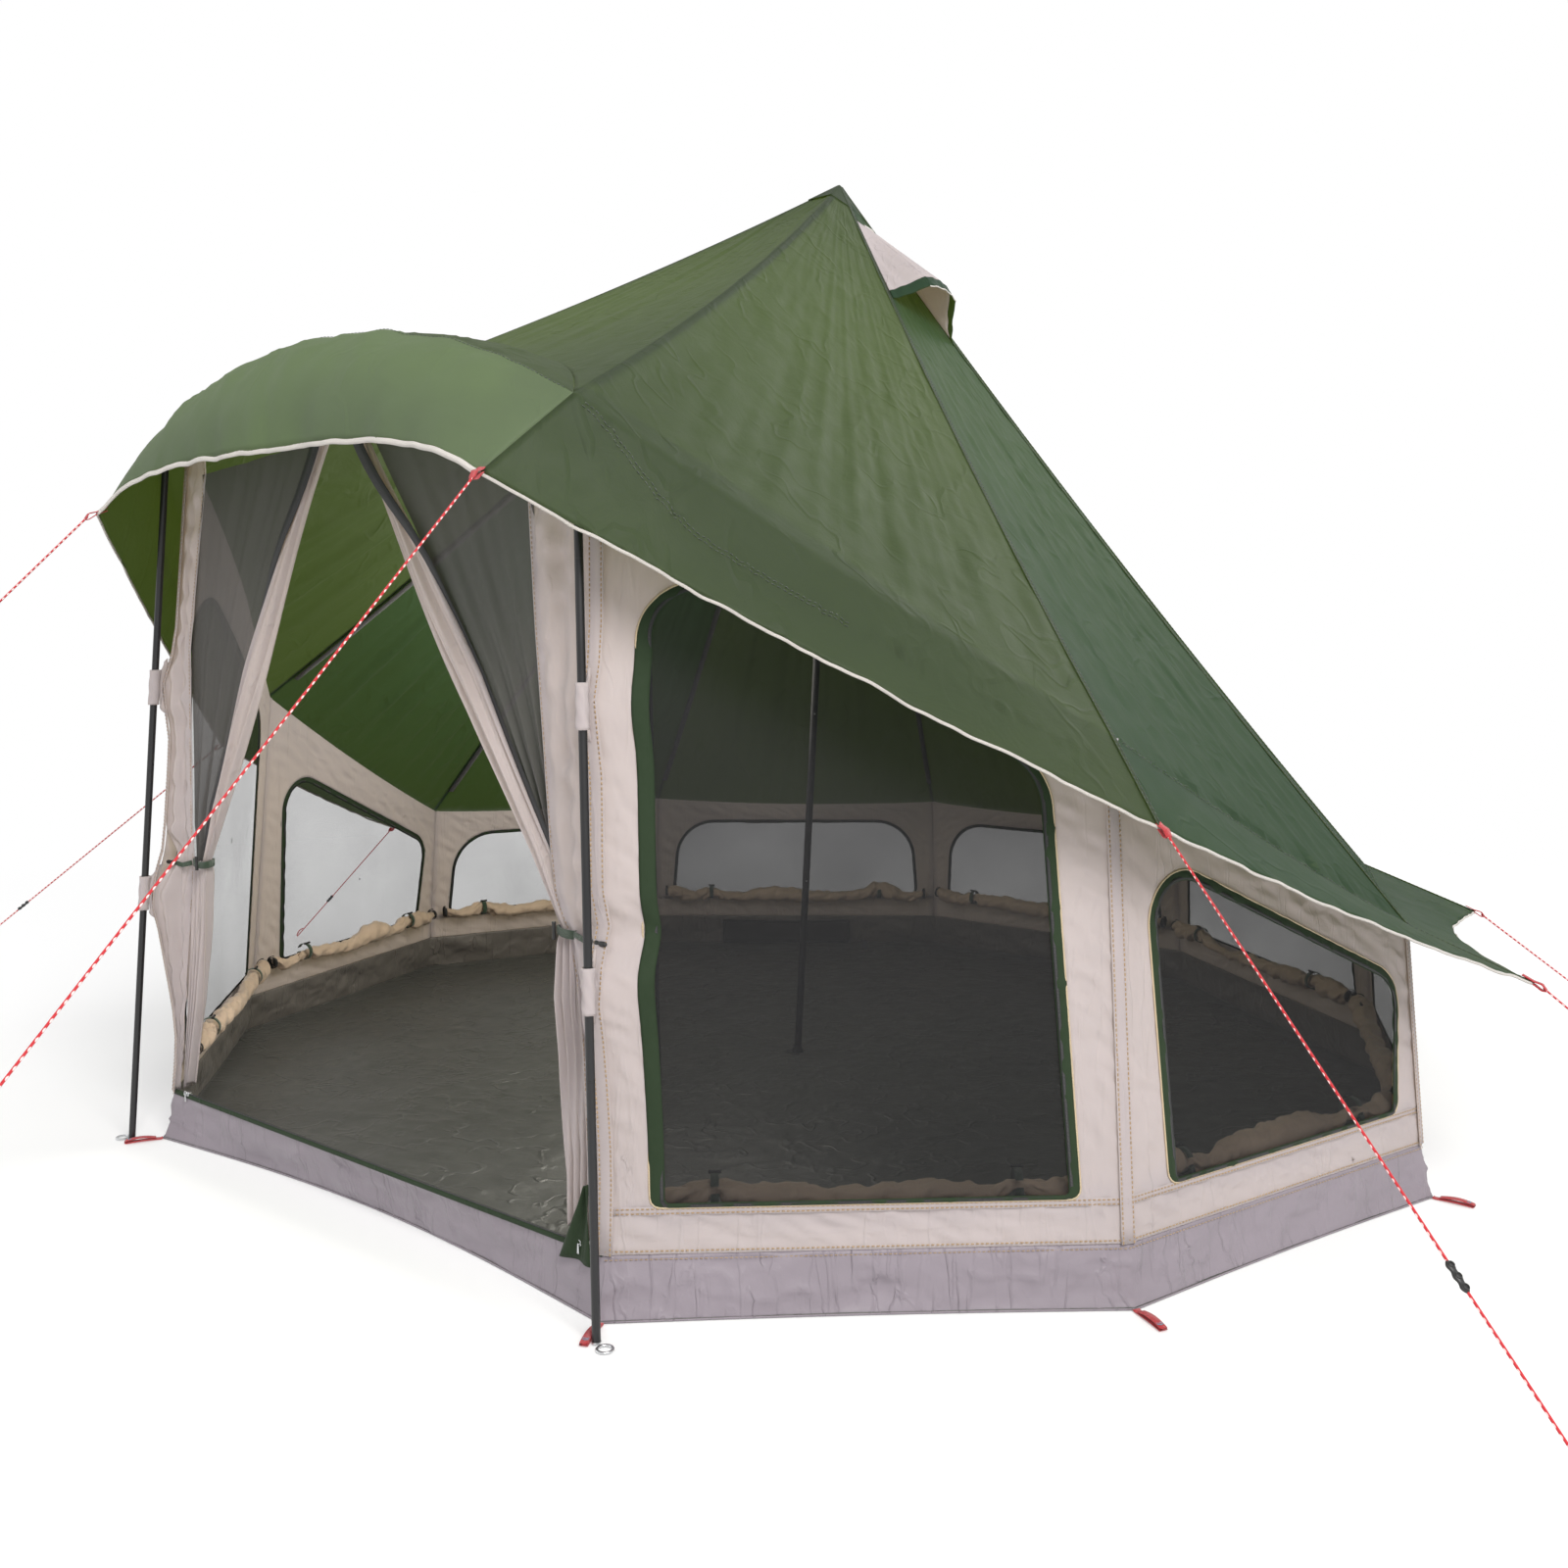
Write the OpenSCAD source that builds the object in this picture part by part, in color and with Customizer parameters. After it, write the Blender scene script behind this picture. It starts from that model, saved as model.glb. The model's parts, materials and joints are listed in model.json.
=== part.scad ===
// Screen house: a ten-sided tent with one centre pole, a porch arch, mesh windows and a mesh door.
// Millimetres, +Z up. The origin is on the ground in the middle of the floor, and the door faces -Y.
// Corners and walls are numbered from the right of the door round the back to the left of the door.

/* [Plan] */
// Distance from the middle of the floor to each corner, from the door to the back
corner_radius = [2066, 2085, 2120, 1979, 1978]; // [1900:1:2200]
// Bearing of each corner on the right side, in degrees from straight right
corner_bearing = [-63.6, -30.9, 0.3, 31.4, 71.4]; // [-70:0.1:80]
// How far the foot of the bathtub flares out at the ground
foot_flare = 20; // [10:1:30]
// Inward lean of the walls, in millimetres for each metre of radius and of height
wall_lean = 50; // [40:1:60]

/* [Heights] */
// Height of the peak of the roof
peak_h = 3000; // [2950:10:3050]
// Height of the bathtub edge
tub_h = 140; // [120:5:150]
// Height of the window sill
sill_h = 245; // [230:5:260]
// Height of the wall top at each corner, from the door to the back
wall_top = [1990, 1240, 695, 695, 680]; // [650:5:2000]

/* [Roof] */
// Distance of each eave corner from the middle, from the door to the back
eave_radius = [2193, 2150, 2355, 2274, 2270]; // [2100:1:2400]
// Bearing of each eave corner on the right side
eave_bearing = [-68.7, -30.9, 0.3, 31.4, 71.4]; // [-75:0.1:80]
// Height of each eave corner
eave_h = [1815, 1084, 616, 573, 580]; // [550:1:1900]
// How far the hips hang below a straight line, at their middle
hip_sag = 45; // [20:1:60]
// How far a roof panel hangs between its two hips at the wall
panel_sag = 18; // [5:1:25]
// How far the peak leans towards the right and the back
peak_shift = [100, 100]; // [0:5:120]
// Opening angle of the roof vents above the roof
vent_open = 14; // [13:0.5:15]

/* [Poles] */
// Radius of the centre pole
centre_r = 12.5; // [11:0.5:15]
// Length of one section of the centre pole
centre_section = 590; // [585:1:592]
// Radius of the door poles
door_r = 9.5; // [8:0.5:11]
// Length of one full section of a door pole
door_section = 550; // [500:5:560]
// Distance of the foot of a door pole from the middle line, and its place to the front
door_foot = [985, -1935]; // [900:5:2000]
// Top of a door pole: distance from the middle line, place to the front, height
door_top = [840, -1820, 1960]; // [800:5:2000]
// Height of the porch arch above the tops of the door poles
arch_rise = 215; // [190:5:230]

/* [Lines] */
// Ground anchor of each guyline on the right side: distance and bearing
anchor_radius = [3975, 3590, 3170, 3030]; // [3000:10:4200]
// Bearing of each ground anchor
anchor_bearing = [-76.2, -30.9, 0.3, 31.4]; // [-80:0.1:40]
// Radius of the guylines
line_r = 2.5; // [2:0.5:3]

/* [Hidden] */

// Colours
steel_c = "#1d1e20";
bright_c = "#b9bcc0";
cream_c = "#e6dccb";
green_c = "#4c6a40";
dark_green_c = "#2f4a2b";
lilac_c = "#a79fa8";
floor_c = "#5d5f59";
mesh_c = "#2c2d2c";
tan_c = "#c9ab85";
red_c = "#cf2a2e";

cloth_t = 3;         // thickness of every fabric panel
gap = 1;             // space between neighbouring fabric pieces
peak = [peak_shift.x, peak_shift.y, peak_h];
lean = wall_lean / 1e6;
last = 9;            // number of the door wall; walls 0 to 8 have windows
$fn = 48;

// ---- Points of the plan -------------------------------------------------------------------

function side_of(i) = i < 5 ? 1 : -1;
function twin(i) = i < 5 ? i : last - i;
function polar(r, a, z, side = 1) = [side * r * cos(a), r * sin(a), z];
function lerp(a, b, t) = a + (b - a) * t;
function unit(v) = v / norm(v);

// Corner i of the walls at height h, with grow added to its radius
function corner(i, h, grow = 0) =
    polar((corner_radius[twin(i)] + grow) * (1 - lean * h), corner_bearing[twin(i)], h, side_of(i));
function wall_type(i) = i <= 4 ? i : 8 - i;
function next(i) = (i + 1) % 10;

// Knee i: where hip i of the roof passes over the wall or over the top of a door pole
function knee(i) = twin(i) == 0
    ? [side_of(i) * (door_top.x + 15), door_top.y - 20, door_top.z + 30]
    : corner(i, wall_top[twin(i)] + 30, 5);
function eave(i) = polar(eave_radius[twin(i)], eave_bearing[twin(i)], eave_h[twin(i)], side_of(i));

// Point t along hip i: 0 at the peak, 1 at the knee, 2 at the eave corner
function hip(i, t) = t > 1
    ? lerp(knee(i), eave(i), t - 1)
    : lerp(peak, knee(i), t) - [0, 0, hip_sag * 4 * t * (1 - t)];
// Point of roof sector i, s across from hip i to the next one
function roof_point(i, s, t) = lerp(hip(i, t), hip(next(i), t), s)
    - [0, 0, panel_sag * 4 * s * (1 - s) * min(t, 1)];

// ---- Building blocks ----------------------------------------------------------------------

// Closed sheet over a grid of points, given as rows of equal length, with thickness along down
module sheet(rows, down = [0, 0, -cloth_t]) {
    n = len(rows);
    m = len(rows[0]);
    top = [for (r = rows) for (p = r) p];
    under = [for (p = top) p + down];
    size = n * m;
    faces_top = [for (i = [0 : n - 2]) for (j = [0 : m - 2])
        for (f = [[i * m + j, i * m + j + 1, (i + 1) * m + j + 1],
                  [i * m + j, (i + 1) * m + j + 1, (i + 1) * m + j]]) f];
    faces_under = [for (f = faces_top) [f[2] + size, f[1] + size, f[0] + size]];
    rim = concat([for (j = [0 : m - 1]) j],
        [for (i = [1 : n - 1]) i * m + m - 1],
        [for (j = [m - 2 : -1 : 0]) (n - 1) * m + j],
        [for (i = [n - 2 : -1 : 1]) i * m]);
    faces_rim = [for (k = [0 : len(rim) - 1])
        let (a = rim[k], b = rim[(k + 1) % len(rim)])
        for (f = [[b, a, a + size], [b, a + size, b + size]]) f];
    polyhedron(concat(top, under), concat(faces_top, faces_under, faces_rim));
}

// Sheet of roof sector i between two places along the hips
module sector(i, t_start = 0.03, t_end = 2, rows = 6) {
    slope = [for (r = [0 : rows]) lerp(t_start, min(t_end, 1), r / rows)];
    stops = t_end > 1 ? concat(slope, [t_end]) : slope;
    edge = 0.004;
    sheet([for (t = stops) [for (c = [0 : 4]) roof_point(i, lerp(edge, 1 - edge, c / 4), t)]]);
}

// Turns the z axis to run from p towards q, and moves the origin to p
module along(p, q) {
    d = q - p;
    translate(p)
        rotate([0, acos(d.z / norm(d)), atan2(d.y, d.x)])
            children();
}

module rod(p, q, r) {
    along(p, q)
        cylinder(h = norm(q - p), r = r);
}

module both_sides() {
    children();
    mirror([1, 0, 0])
        children();
}

// Places its children on wall i: x along the wall from corner i, y up the wall, z outwards
module on_wall(i) {
    a = corner(i, 0);
    b = corner(next(i), 0);
    e = unit(b - a);
    distance = norm(cross(a, e));
    tilt = atan(lean * distance);
    translate(a)
        rotate([0, 0, atan2(e.y, e.x)])
            rotate([90 - tilt, 0, 0])
                children();
}

// Point of wall i at height h in that frame, at its start (side 0) or its end (side 1)
function wall_uv(i, side, h) =
    let (a = corner(i, 0), b = corner(next(i), 0), e = unit(b - a),
        tilt = atan(lean * norm(cross(a, e))))
    side == 0 ? [-lean * h * (a * e), h / cos(tilt)]
              : [norm(b - a) - lean * h * (b * e), h / cos(tilt)];

// Outline of wall i between two heights at each end, kept clear of its neighbours
function wall_outline(i, low, top_start, top_end) =
    [wall_uv(i, 0, low) + [2 * gap, gap], wall_uv(i, 1, low) + [-2 * gap, gap],
     wall_uv(i, 1, top_end) - [2 * gap, 0], wall_uv(i, 0, top_start) + [2 * gap, 0]];

// Polygon with its corners rounded by arcs
function rounded(points, radii, steps = 6) = [
    for (k = [0 : len(points) - 1])
        let (n = len(points), p = points[k], r = radii[k],
            u = unit(points[(k + n - 1) % n] - p), v = unit(points[(k + 1) % n] - p),
            half = acos(u * v) / 2, reach = r / tan(half),
            middle = p + unit(u + v) * r / sin(half), from = p + u * reach,
            start = atan2(from.y - middle.y, from.x - middle.x),
            turn = 180 - 2 * half)
        for (s = [0 : r > 0 ? steps : 0])
            r > 0 ? middle + r * [cos(start + turn * s / steps), sin(start + turn * s / steps)] : p];

// Corners of the window of a wall type, for a wall of length w
function window_corners(type, w) =
    type == 0 ? [[105, sill_h], [w - 113, sill_h], [w - 178, 1200], [118, 1705]]
    : type == 1 ? [[145, sill_h], [w - 108, sill_h], [w - 76, 600], [115, 1020]]
    : [[85, sill_h + 5], [w - 85, sill_h + 5], [w - 118, 615], [118, 615]];
function window_radii(type) =
    type == 0 ? [20, 20, 170, 130] : type == 1 ? [30, 30, 120, 120] : [30, 30, 190, 190];
function wall_length(i) = norm(corner(next(i), 0) - corner(i, 0));

// Window outline of wall i, drawn in by inset
module window_shape(i, inset = 0) {
    w = wall_length(i);
    type = wall_type(i);
    flip = i > 4;
    outline = rounded(window_corners(type, w), window_radii(type));
    placed = flip ? [for (k = [len(outline) - 1 : -1 : 0]) [w - outline[k].x, outline[k].y]] : outline;
    if (inset > 0)
        offset(delta = -inset)
            polygon(placed);
    else
        polygon(placed);
}

module wall(i) {
    flip = i > 4;
    t = twin(i);
    n = twin(next(i));
    on_wall(i)
        translate([0, 0, -cloth_t])
            linear_extrude(cloth_t)
                difference() {
                    polygon(wall_outline(i, tub_h, wall_top[t], wall_top[n]));
                    window_shape(i);
                }
}

// ---- Centre pole --------------------------------------------------------------------------

pole_wall = 1.2;
fit = 0.1;                     // clearance of a spigot in the next section
spigot = 55;                   // length of the swaged end of a section
cup_h = 12;
pole_length = 5 * centre_section;
button_r = 3;
button_up = 25;                // height of a button above the bottom of its section
foot_point = [0, 0, 0];

// Frame of the centre pole: z runs up the pole from the middle of the floor
module on_pole(up = 0) {
    along(foot_point, peak)
        translate([0, 0, up])
            children();
}

// One section: a tube whose swaged upper end goes into the section above it
module centre_tube(number, swaged = true) {
    up = cup_h + number * centre_section;
    straight = centre_section - (swaged ? 0 : 8);
    inner = centre_r - pole_wall;
    on_pole(up)
        difference() {
            union() {
                cylinder(h = straight - 0.5, r = centre_r);
                if (swaged)
                    cylinder(h = centre_section + spigot, r = inner - fit);
            }
            translate([0, 0, -1])
                cylinder(h = centre_section - 5, r = inner);
            translate([0, 0, -1])
                cylinder(h = centre_section + spigot + 2, r = inner - fit - pole_wall);
            if (number > 0)
                button_hole(0);
            if (swaged)
                button_hole(centre_section);
        }
}

module button_hole(up) {
    translate([0, 0, up + button_up])
        rotate([90, 0, 0])
            cylinder(h = centre_r + 1, r = button_r + fit / 2);
}

module centre_pole_bottom() {
    color(steel_c)
        centre_tube(0);
}

module centre_pole_middle() {
    color(steel_c)
        for (number = [1 : 3])
            centre_tube(number);
}

module centre_pole_top() {
    color(steel_c)
        centre_tube(4, false);
}

// Spring button in the lower end of section number: a pin with a rounded head
module pole_button(number) {
    stem = 10;
    color(bright_c)
        on_pole(cup_h + number * centre_section + button_up)
            rotate([90, 0, 0]) {
                translate([0, 0, 6])
                    cylinder(h = stem, r = button_r);
                translate([0, 0, 5])
                    cylinder(h = 1.2, r = button_r + 1);
            }
}

module pole_foot_cup() {
    floor_top = cloth_t;
    color(steel_c)
        translate([0, 0, floor_top + gap])
            rotate_extrude()
                polygon([[0, 0], [45, 0], [45, 2], [20, 4], [16.5, 26], [14.5, 26], [14.5, 6.5], [0, 6.5]]);
}

// Round cap in the top end of the pole
module pole_top_cap() {
    inner = centre_r - pole_wall - fit;
    color(steel_c)
        on_pole(cup_h + pole_length - 8) {
            translate([0, 0, -20])
                cylinder(h = 21, r = inner);
            rotate_extrude()
                polygon([[0, 0.5], [centre_r, 0.5], [centre_r, 6], [8, 11], [0, 12]]);
        }
}

// ---- Door poles and porch arch ------------------------------------------------------------

door_base = [door_foot.x, door_foot.y, 6];
door_length = norm(door_top - door_base);
door_inner = door_r - pole_wall;

pin_r = 4;
plug_h = 14;                   // length of the closed foot of a door pole

// Four tubes end to end; each swaged upper end goes into the tube above it
module door_pole() {
    along(door_base, door_top)
        for (number = [0 : 3])
            translate([0, 0, number * door_section])
                door_tube(number == 0, number == 3);
}

module door_tube(is_foot, is_top) {
    h = is_top ? door_length - 3 * door_section - 0.5 : door_section - 0.5;
    bore_from = is_foot ? plug_h : -1;
    bore_to = is_top ? h + 1 : h - 6;
    difference() {
        union() {
            cylinder(h = h, r = door_r);
            if (!is_top)
                cylinder(h = door_section + spigot, r = door_inner - fit);
        }
        translate([0, 0, bore_from])
            cylinder(h = bore_to - bore_from, r = door_inner);
        translate([0, 0, h - 8])
            cylinder(h = spigot + 20, r = door_inner - fit - pole_wall);
        if (is_foot)
            translate([0, 0, -1])
                cylinder(h = plug_h + 2, r = pin_r + fit);
    }
}

module door_pole_right() {
    color(steel_c)
        door_pole();
}

module door_pole_left() {
    color(steel_c)
        mirror([1, 0, 0])
            door_pole();
}

arch_tube_r = 5;
elbow_r = 12;
arch_half = door_top.x - 9;
arch_radius = (arch_half * arch_half + arch_rise * arch_rise) / (2 * arch_rise);
arch_angle = asin(arch_half / arch_radius);
arch_base_h = door_top.z + elbow_r + 6;

// Height of the arch above the ground at a distance x from the middle
function arch_z(x) = arch_base_h + arch_rise - arch_radius + sqrt(arch_radius * arch_radius - x * x);

module porch_arch_pole() {
    color(steel_c)
        translate([0, door_top.y, arch_base_h + arch_rise - arch_radius])
            rotate([90, 0, 0])
                rotate([0, 0, 90 - arch_angle])
                    rotate_extrude(angle = 2 * arch_angle)
                        translate([arch_radius, 0])
                            circle(r = arch_tube_r);
}

// Elbow that turns the corner between a door pole and the arch: a plug, a knuckle and a sleeve
module arch_end_sockets() {
    sleeve = 26;
    sleeve_r = 8;
    bend_room = 0.5;     // the tube bends slightly inside the straight sleeve
    arch_end = [arch_half, door_top.y, arch_base_h];
    outward = [cos(arch_angle), 0, -sin(arch_angle)];
    color(steel_c)
        both_sides()
            difference() {
                union() {
                    along(door_base, door_top)
                        translate([0, 0, door_length - 30])
                            cylinder(h = 30 + elbow_r, r = door_inner - fit);
                    translate(door_top + [0, 0, elbow_r + 0.5])
                        sphere(r = elbow_r);
                    rod(arch_end - (sleeve - 4) * outward, arch_end + 5 * outward, sleeve_r);
                }
                rod(arch_end - sleeve * outward, arch_end + 0.5 * outward, arch_tube_r + bend_room);
            }
}

ring_bore_r = 14;
ring_place = [door_foot.x + 36, door_foot.y - 10];

// Flat ring beside each door pole, for a ground peg
module door_pole_rings() {
    outer = ring_bore_r + 6;
    color(bright_c)
        both_sides()
            translate([ring_place.x, ring_place.y, 1])
                rotate_extrude()
                    polygon([[ring_bore_r, 1], [ring_bore_r + 1, 0], [outer - 1, 0], [outer, 1],
                        [outer, 4], [outer - 1, 5], [ring_bore_r + 1, 5], [ring_bore_r, 4]]);
}

// Short pin under each door pole, on a foot plate
module door_pole_pins() {
    color(bright_c)
        both_sides()
            along(door_base, door_top) {
                translate([0, 0, -4.5])
                    cylinder(h = 4, r = door_r + 1);
                translate([0, 0, -1])
                    cylinder(h = plug_h, r = pin_r);
            }
}

// ---- Floor and bathtub --------------------------------------------------------------------

floor_inset = cloth_t + 4;

module groundsheet() {
    color(floor_c)
        linear_extrude(cloth_t)
            polygon([for (i = [0 : last]) let (p = corner(i, 0, foot_flare - floor_inset)) [p.x, p.y]]);
}

module tub_panel(i) {
    a = corner(i, 0, foot_flare);
    b = corner(next(i), 0, foot_flare);
    e = unit(b - a) * 2 * gap;
    c = corner(next(i), tub_h);
    d = corner(i, tub_h);
    inward = cloth_t * [-e.y, e.x, 0] / norm(e);
    sheet([[d + e, c - e], [a + e, b - e]], inward);
}

module bathtub_walls() {
    color(lilac_c)
        for (i = [0 : last])
            tub_panel(i);
}

sill_y = corner(0, tub_h).y + cloth_t / 2;
sill_half = 860;
rail = [4, 5];                 // depth and height of the zip rail
slider_size = [26, 14, 11];

module door_sill_zip() {
    color(steel_c)
        translate([-sill_half, sill_y - rail.x / 2, tub_h + gap])
            cube([2 * sill_half, rail.x, rail.y]);
}

// Zip slider at the outer end of the sill: a block that straddles the zip
module zip_slider(side) {
    play = 0.8;
    color(bright_c)
        translate([side * (sill_half - 25), sill_y, tub_h + gap + 1])
            difference() {
                translate([-slider_size.x / 2, -slider_size.y / 2, 0])
                    cube(slider_size);
                translate([-slider_size.x, -rail.x / 2 - play, -1])
                    cube([2 * slider_size.x, rail.x + 2 * play, rail.y + play]);
            }
}

// ---- Walls, windows and flaps -------------------------------------------------------------

module front_walls() {
    color(cream_c) {
        wall(0);
        wall(8);
    }
}

module side_walls() {
    color(cream_c) {
        wall(1);
        wall(7);
    }
}

module low_walls() {
    color(cream_c)
        for (i = [2 : 6])
            wall(i);
}

pillar_width = [55, 150];      // width of a door pillar at the sill and at its top

module door_pillars() {
    color(cream_c)
        both_sides()
            on_wall(last)
                translate([0, 0, -cloth_t])
                    linear_extrude(cloth_t)
                        polygon([wall_uv(last, 1, tub_h + 12) - [2, 0],
                            wall_uv(last, 1, wall_top[0]) - [2, 0],
                            wall_uv(last, 1, wall_top[0] - 60) - [pillar_width[1], 0],
                            wall_uv(last, 1, tie_h) - [25, 0],
                            wall_uv(last, 1, tub_h + 12) - [pillar_width[0], 0]]);
}

band = 30;                     // width of the green surround of a window
mesh_t = 1.5;

module window_meshes() {
    color(mesh_c)
        for (i = [0 : 8])
            on_wall(i)
                translate([0, 0, -cloth_t])
                    linear_extrude(mesh_t)
                        window_shape(i, band);
}

module window_surrounds() {
    color(dark_green_c)
        for (i = [0 : 8])
            on_wall(i)
                translate([0, 0, -cloth_t])
                    linear_extrude(cloth_t)
                        difference() {
                            window_shape(i, gap);
                            window_shape(i, band - gap);
                        }
}

roll_r = 34;
roll_in = 42;                  // distance of the middle of a rolled flap from the wall

roll_end = 70;                 // distance of the end of a roll from the corner

function roll_length(i) = wall_length(i) - 2 * roll_end;
module flap_place(i) {
    on_wall(i)
        translate([roll_end, sill_h + 25, -roll_in])
            rotate([0, 90, 0])
                children();
}

module window_flaps() {
    color(tan_c)
        for (i = [0 : 8])
            flap_place(i)
                cylinder(h = roll_length(i), r = roll_r);
}

module flap_ties() {
    tie_w = 18;
    color(dark_green_c)
        for (i = [0 : 8])
            for (share = [0.17, 0.83])
                flap_place(i)
                    translate([0, 0, share * roll_length(i) - tie_w / 2])
                        difference() {
                            cylinder(h = tie_w, r = roll_r + 3);
                            translate([0, 0, -1])
                                cylinder(h = tie_w + 2, r = roll_r + 1);
                        }
}

// ---- Mesh door ----------------------------------------------------------------------------

tie_h = 830;                   // height at which the door leaves are tied back
tie_x = [755, 800];            // places of the right and left tie
toggle_x = [900, 885];
function pick(pair, side) = pair[side > 0 ? 0 : 1];
leaf_y = -1745;                // plane of the door leaves at the tie

// One tied-back leaf as a sheet: wide at the top, gathered at the tie, hanging below it
// Mesh leaf of the door, gathered by its tie at x = tie
module door_leaf(tie) {
    head = [60, 655, -30, 1960];
    waist = [tie - 28, tie + 28, 0, tie_h];
    // Each row: inner edge, outer edge, place in front of the tie, height
    rows = [head, lerp(head, waist, 0.47), lerp(head, waist, 0.85), waist,
        [tie - 35, tie + 34, 0, 600], [tie - 30, tie + 40, 0, tub_h + 25]];
    sheet([for (r = rows) [for (s = [0 : 4]) [lerp(r[0], r[1], s / 4), leaf_y - 25 + r[2], r[3]]]],
        [0, 5, 0]);
}

module door_leaf_right() {
    color(mesh_c)
        door_leaf(tie_x[0]);
}

module door_leaf_left() {
    color(mesh_c)
        mirror([1, 0, 0])
            door_leaf(tie_x[1]);
}

tieback_size = [86, 46, 20];

module door_tiebacks() {
    color(dark_green_c)
        for (side = [-1, 1])
            translate([side * pick(tie_x, side), leaf_y - 22, tie_h])
                difference() {
                    translate([-tieback_size.x / 2, -tieback_size.y / 2, -tieback_size.z / 2])
                        cube(tieback_size);
                    translate([-tieback_size.x / 2 + 2, -tieback_size.y / 2 + 2, -tieback_size.z])
                        cube([tieback_size.x - 4, tieback_size.y - 4, 2 * tieback_size.z]);
                }
}

toggle_length = 44;

// Toggle on the front of the tie-back, with a waist for its cord
module toggle(side) {
    half = toggle_length / 2;
    color(steel_c)
        translate([side * pick(toggle_x, side), leaf_y - 80, tie_h])
            rotate([0, 90, 0])
                rotate_extrude()
                    polygon([[0, -half], [4, -half], [6, -half + 3], [6, -6], [4, -3], [4, 3],
                        [6, 6], [6, half - 3], [4, half], [0, half]]);
}

// ---- Roof ---------------------------------------------------------------------------------

module roof_front_sides() {
    color(green_c) {
        sector(0);
        sector(8);
    }
}

module roof_sides() {
    color(green_c) {
        vented_sector(1);
        vented_sector(7);
    }
}

module roof_rear() {
    color(green_c)
        for (i = [2 : 6])
            sector(i);
}

// Depth behind the arch at which the porch canopy meets the front of the roof
front_slope = (peak.z - knee(0).z) / (peak.y - knee(0).y);
function canopy_z(x) = arch_z(x * (arch_half / (door_top.x + 15))) + arch_tube_r + 7;
function valley(x) = [x, peak.y - (peak.z - canopy_z(x)) / front_slope, canopy_z(x)];
function across(s) = (2 * s - 1) * (door_top.x + 15);

// Front sector: from the peak down to the valley where the porch canopy starts
module roof_front() {
    steps = 12;
    rows = 6;
    color(green_c)
        sheet([for (r = [0 : rows])
            let (t = lerp(0.03, 0.995, r / rows))
            [for (s = [0 : steps])
                let (p = lerp(peak, valley(across(lerp(0.004, 0.996, s / steps))), t))
                p - [0, 0, hip_sag * 4 * t * (1 - t)]]]);
}

front_rise = 105;              // how far the front edge of the porch rises to its middle

// Porch canopy: back from the valley, over the arch, and down to its front edge
function front_edge(s) = [(2 * s - 1) * (eave(0).x - 4), eave(0).y,
    eave(0).z + front_rise * (1 - pow(abs(2 * s - 1), 3.7))];
function crown(s) = [across(s) * 0.997, door_top.y - 32, canopy_z(across(s))];
module porch_canopy() {
    steps = 14;
    color(green_c)
        sheet([
            [for (s = [0 : steps]) lerp(valley(across(s / steps)), crown(s / steps), 0.02)],
            [for (s = [0 : steps]) lerp(valley(across(s / steps)), crown(s / steps), 0.55) + [0, 0, 4]],
            [for (s = [0 : steps]) crown(s / steps)],
            [for (s = [0 : steps]) lerp(crown(s / steps), front_edge(s / steps), 0.5) - [0, 12, 0]],
            [for (s = [0 : steps]) front_edge(s / steps)]]);
}

module roof_peak_patch() {
    color(green_c)
        translate([peak.x, peak.y, peak.z - 14])
            rotate_extrude()
                polygon([[0, 14], [14, 10], [48, -24], [48, -27], [13, 6], [0, 10]]);
}

binding = [1.5, 13];           // where the binding starts and ends, beyond the edge of the fabric

module eave_binding() {
    edge = 0.006;
    color(cream_c) {
        for (i = [0 : 8]) {
            outward = unit([eave(i).x + eave(next(i)).x, eave(i).y + eave(next(i)).y, -400]);
            sheet([for (w = binding)
                [for (c = [0 : 4]) roof_point(i, lerp(edge, 1 - edge, c / 4), 2) + outward * w]]);
        }
        sheet([for (w = binding)
            [for (c = [0 : 14]) front_edge(lerp(edge, 1 - edge, c / 14)) + w * unit([0, -1, -1])]]);
    }
}

module hip_tapes() {
    tape = 12;
    rows = 5;
    color(steel_c)
        for (i = [0 : last]) {
            flat = unit([-sin(atan2(knee(i).y, knee(i).x)), cos(atan2(knee(i).y, knee(i).x)), 0]);
            sheet([for (r = [0 : rows])
                let (t = lerp(0.06, 0.93, r / rows))
                [for (w = [-tape, tape]) hip(i, t) + w * flat - [0, 0, 22]]]);
        }
}

// ---- Roof vents ---------------------------------------------------------------------------

vent_from = 0.085;             // place of the hinge, as a share of the way from peak to knee
vent_length = 450;
vent_width = 130;               // across the lower end of the hood
vent_drop = 8;                 // height of the hinge above the roof
strut_pivot = 300;             // distance of the strut's hinge from the hood's hinge
strut_length = 90;
strut_angle = 50;              // between the strut and the roof

// Frame of the vent on sector i: x along the hinge, y down the slope, z out of the roof panel
module on_vent(i) {
    top = roof_point(i, 0.5, vent_from);
    place = vent_from + 0.1;
    down = unit(roof_point(i, 0.5, place) - top);
    out = unit(cross(down, roof_point(i, 0.8, place) - roof_point(i, 0.2, place)));
    across = cross(down, out);
    multmatrix([for (k = [0:2]) [across[k], down[k], out[k], top[k]]])
        children();
}

// Roof sector with the air opening under its vent
module vented_sector(i) {
    difference() {
        sector(i);
        on_vent(i)
            translate([0, opening_from, -40])
                linear_extrude(80)
                    polygon(vent_opening());
    }
}

opening_from = 40;
opening_length = 200;
function vent_opening(inset = 0) =
    [[-20 + inset, inset], [20 - inset, inset],
     [60 - inset, opening_length - inset], [-60 + inset, opening_length - inset]];

module vent_mesh(i) {
    on_vent(i)
        translate([0, opening_from, -3])
            linear_extrude(1)
                polygon(vent_opening(3));
}

module vent_meshes() {
    color(mesh_c) {
        vent_mesh(1);
        vent_mesh(7);
    }
}

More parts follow.
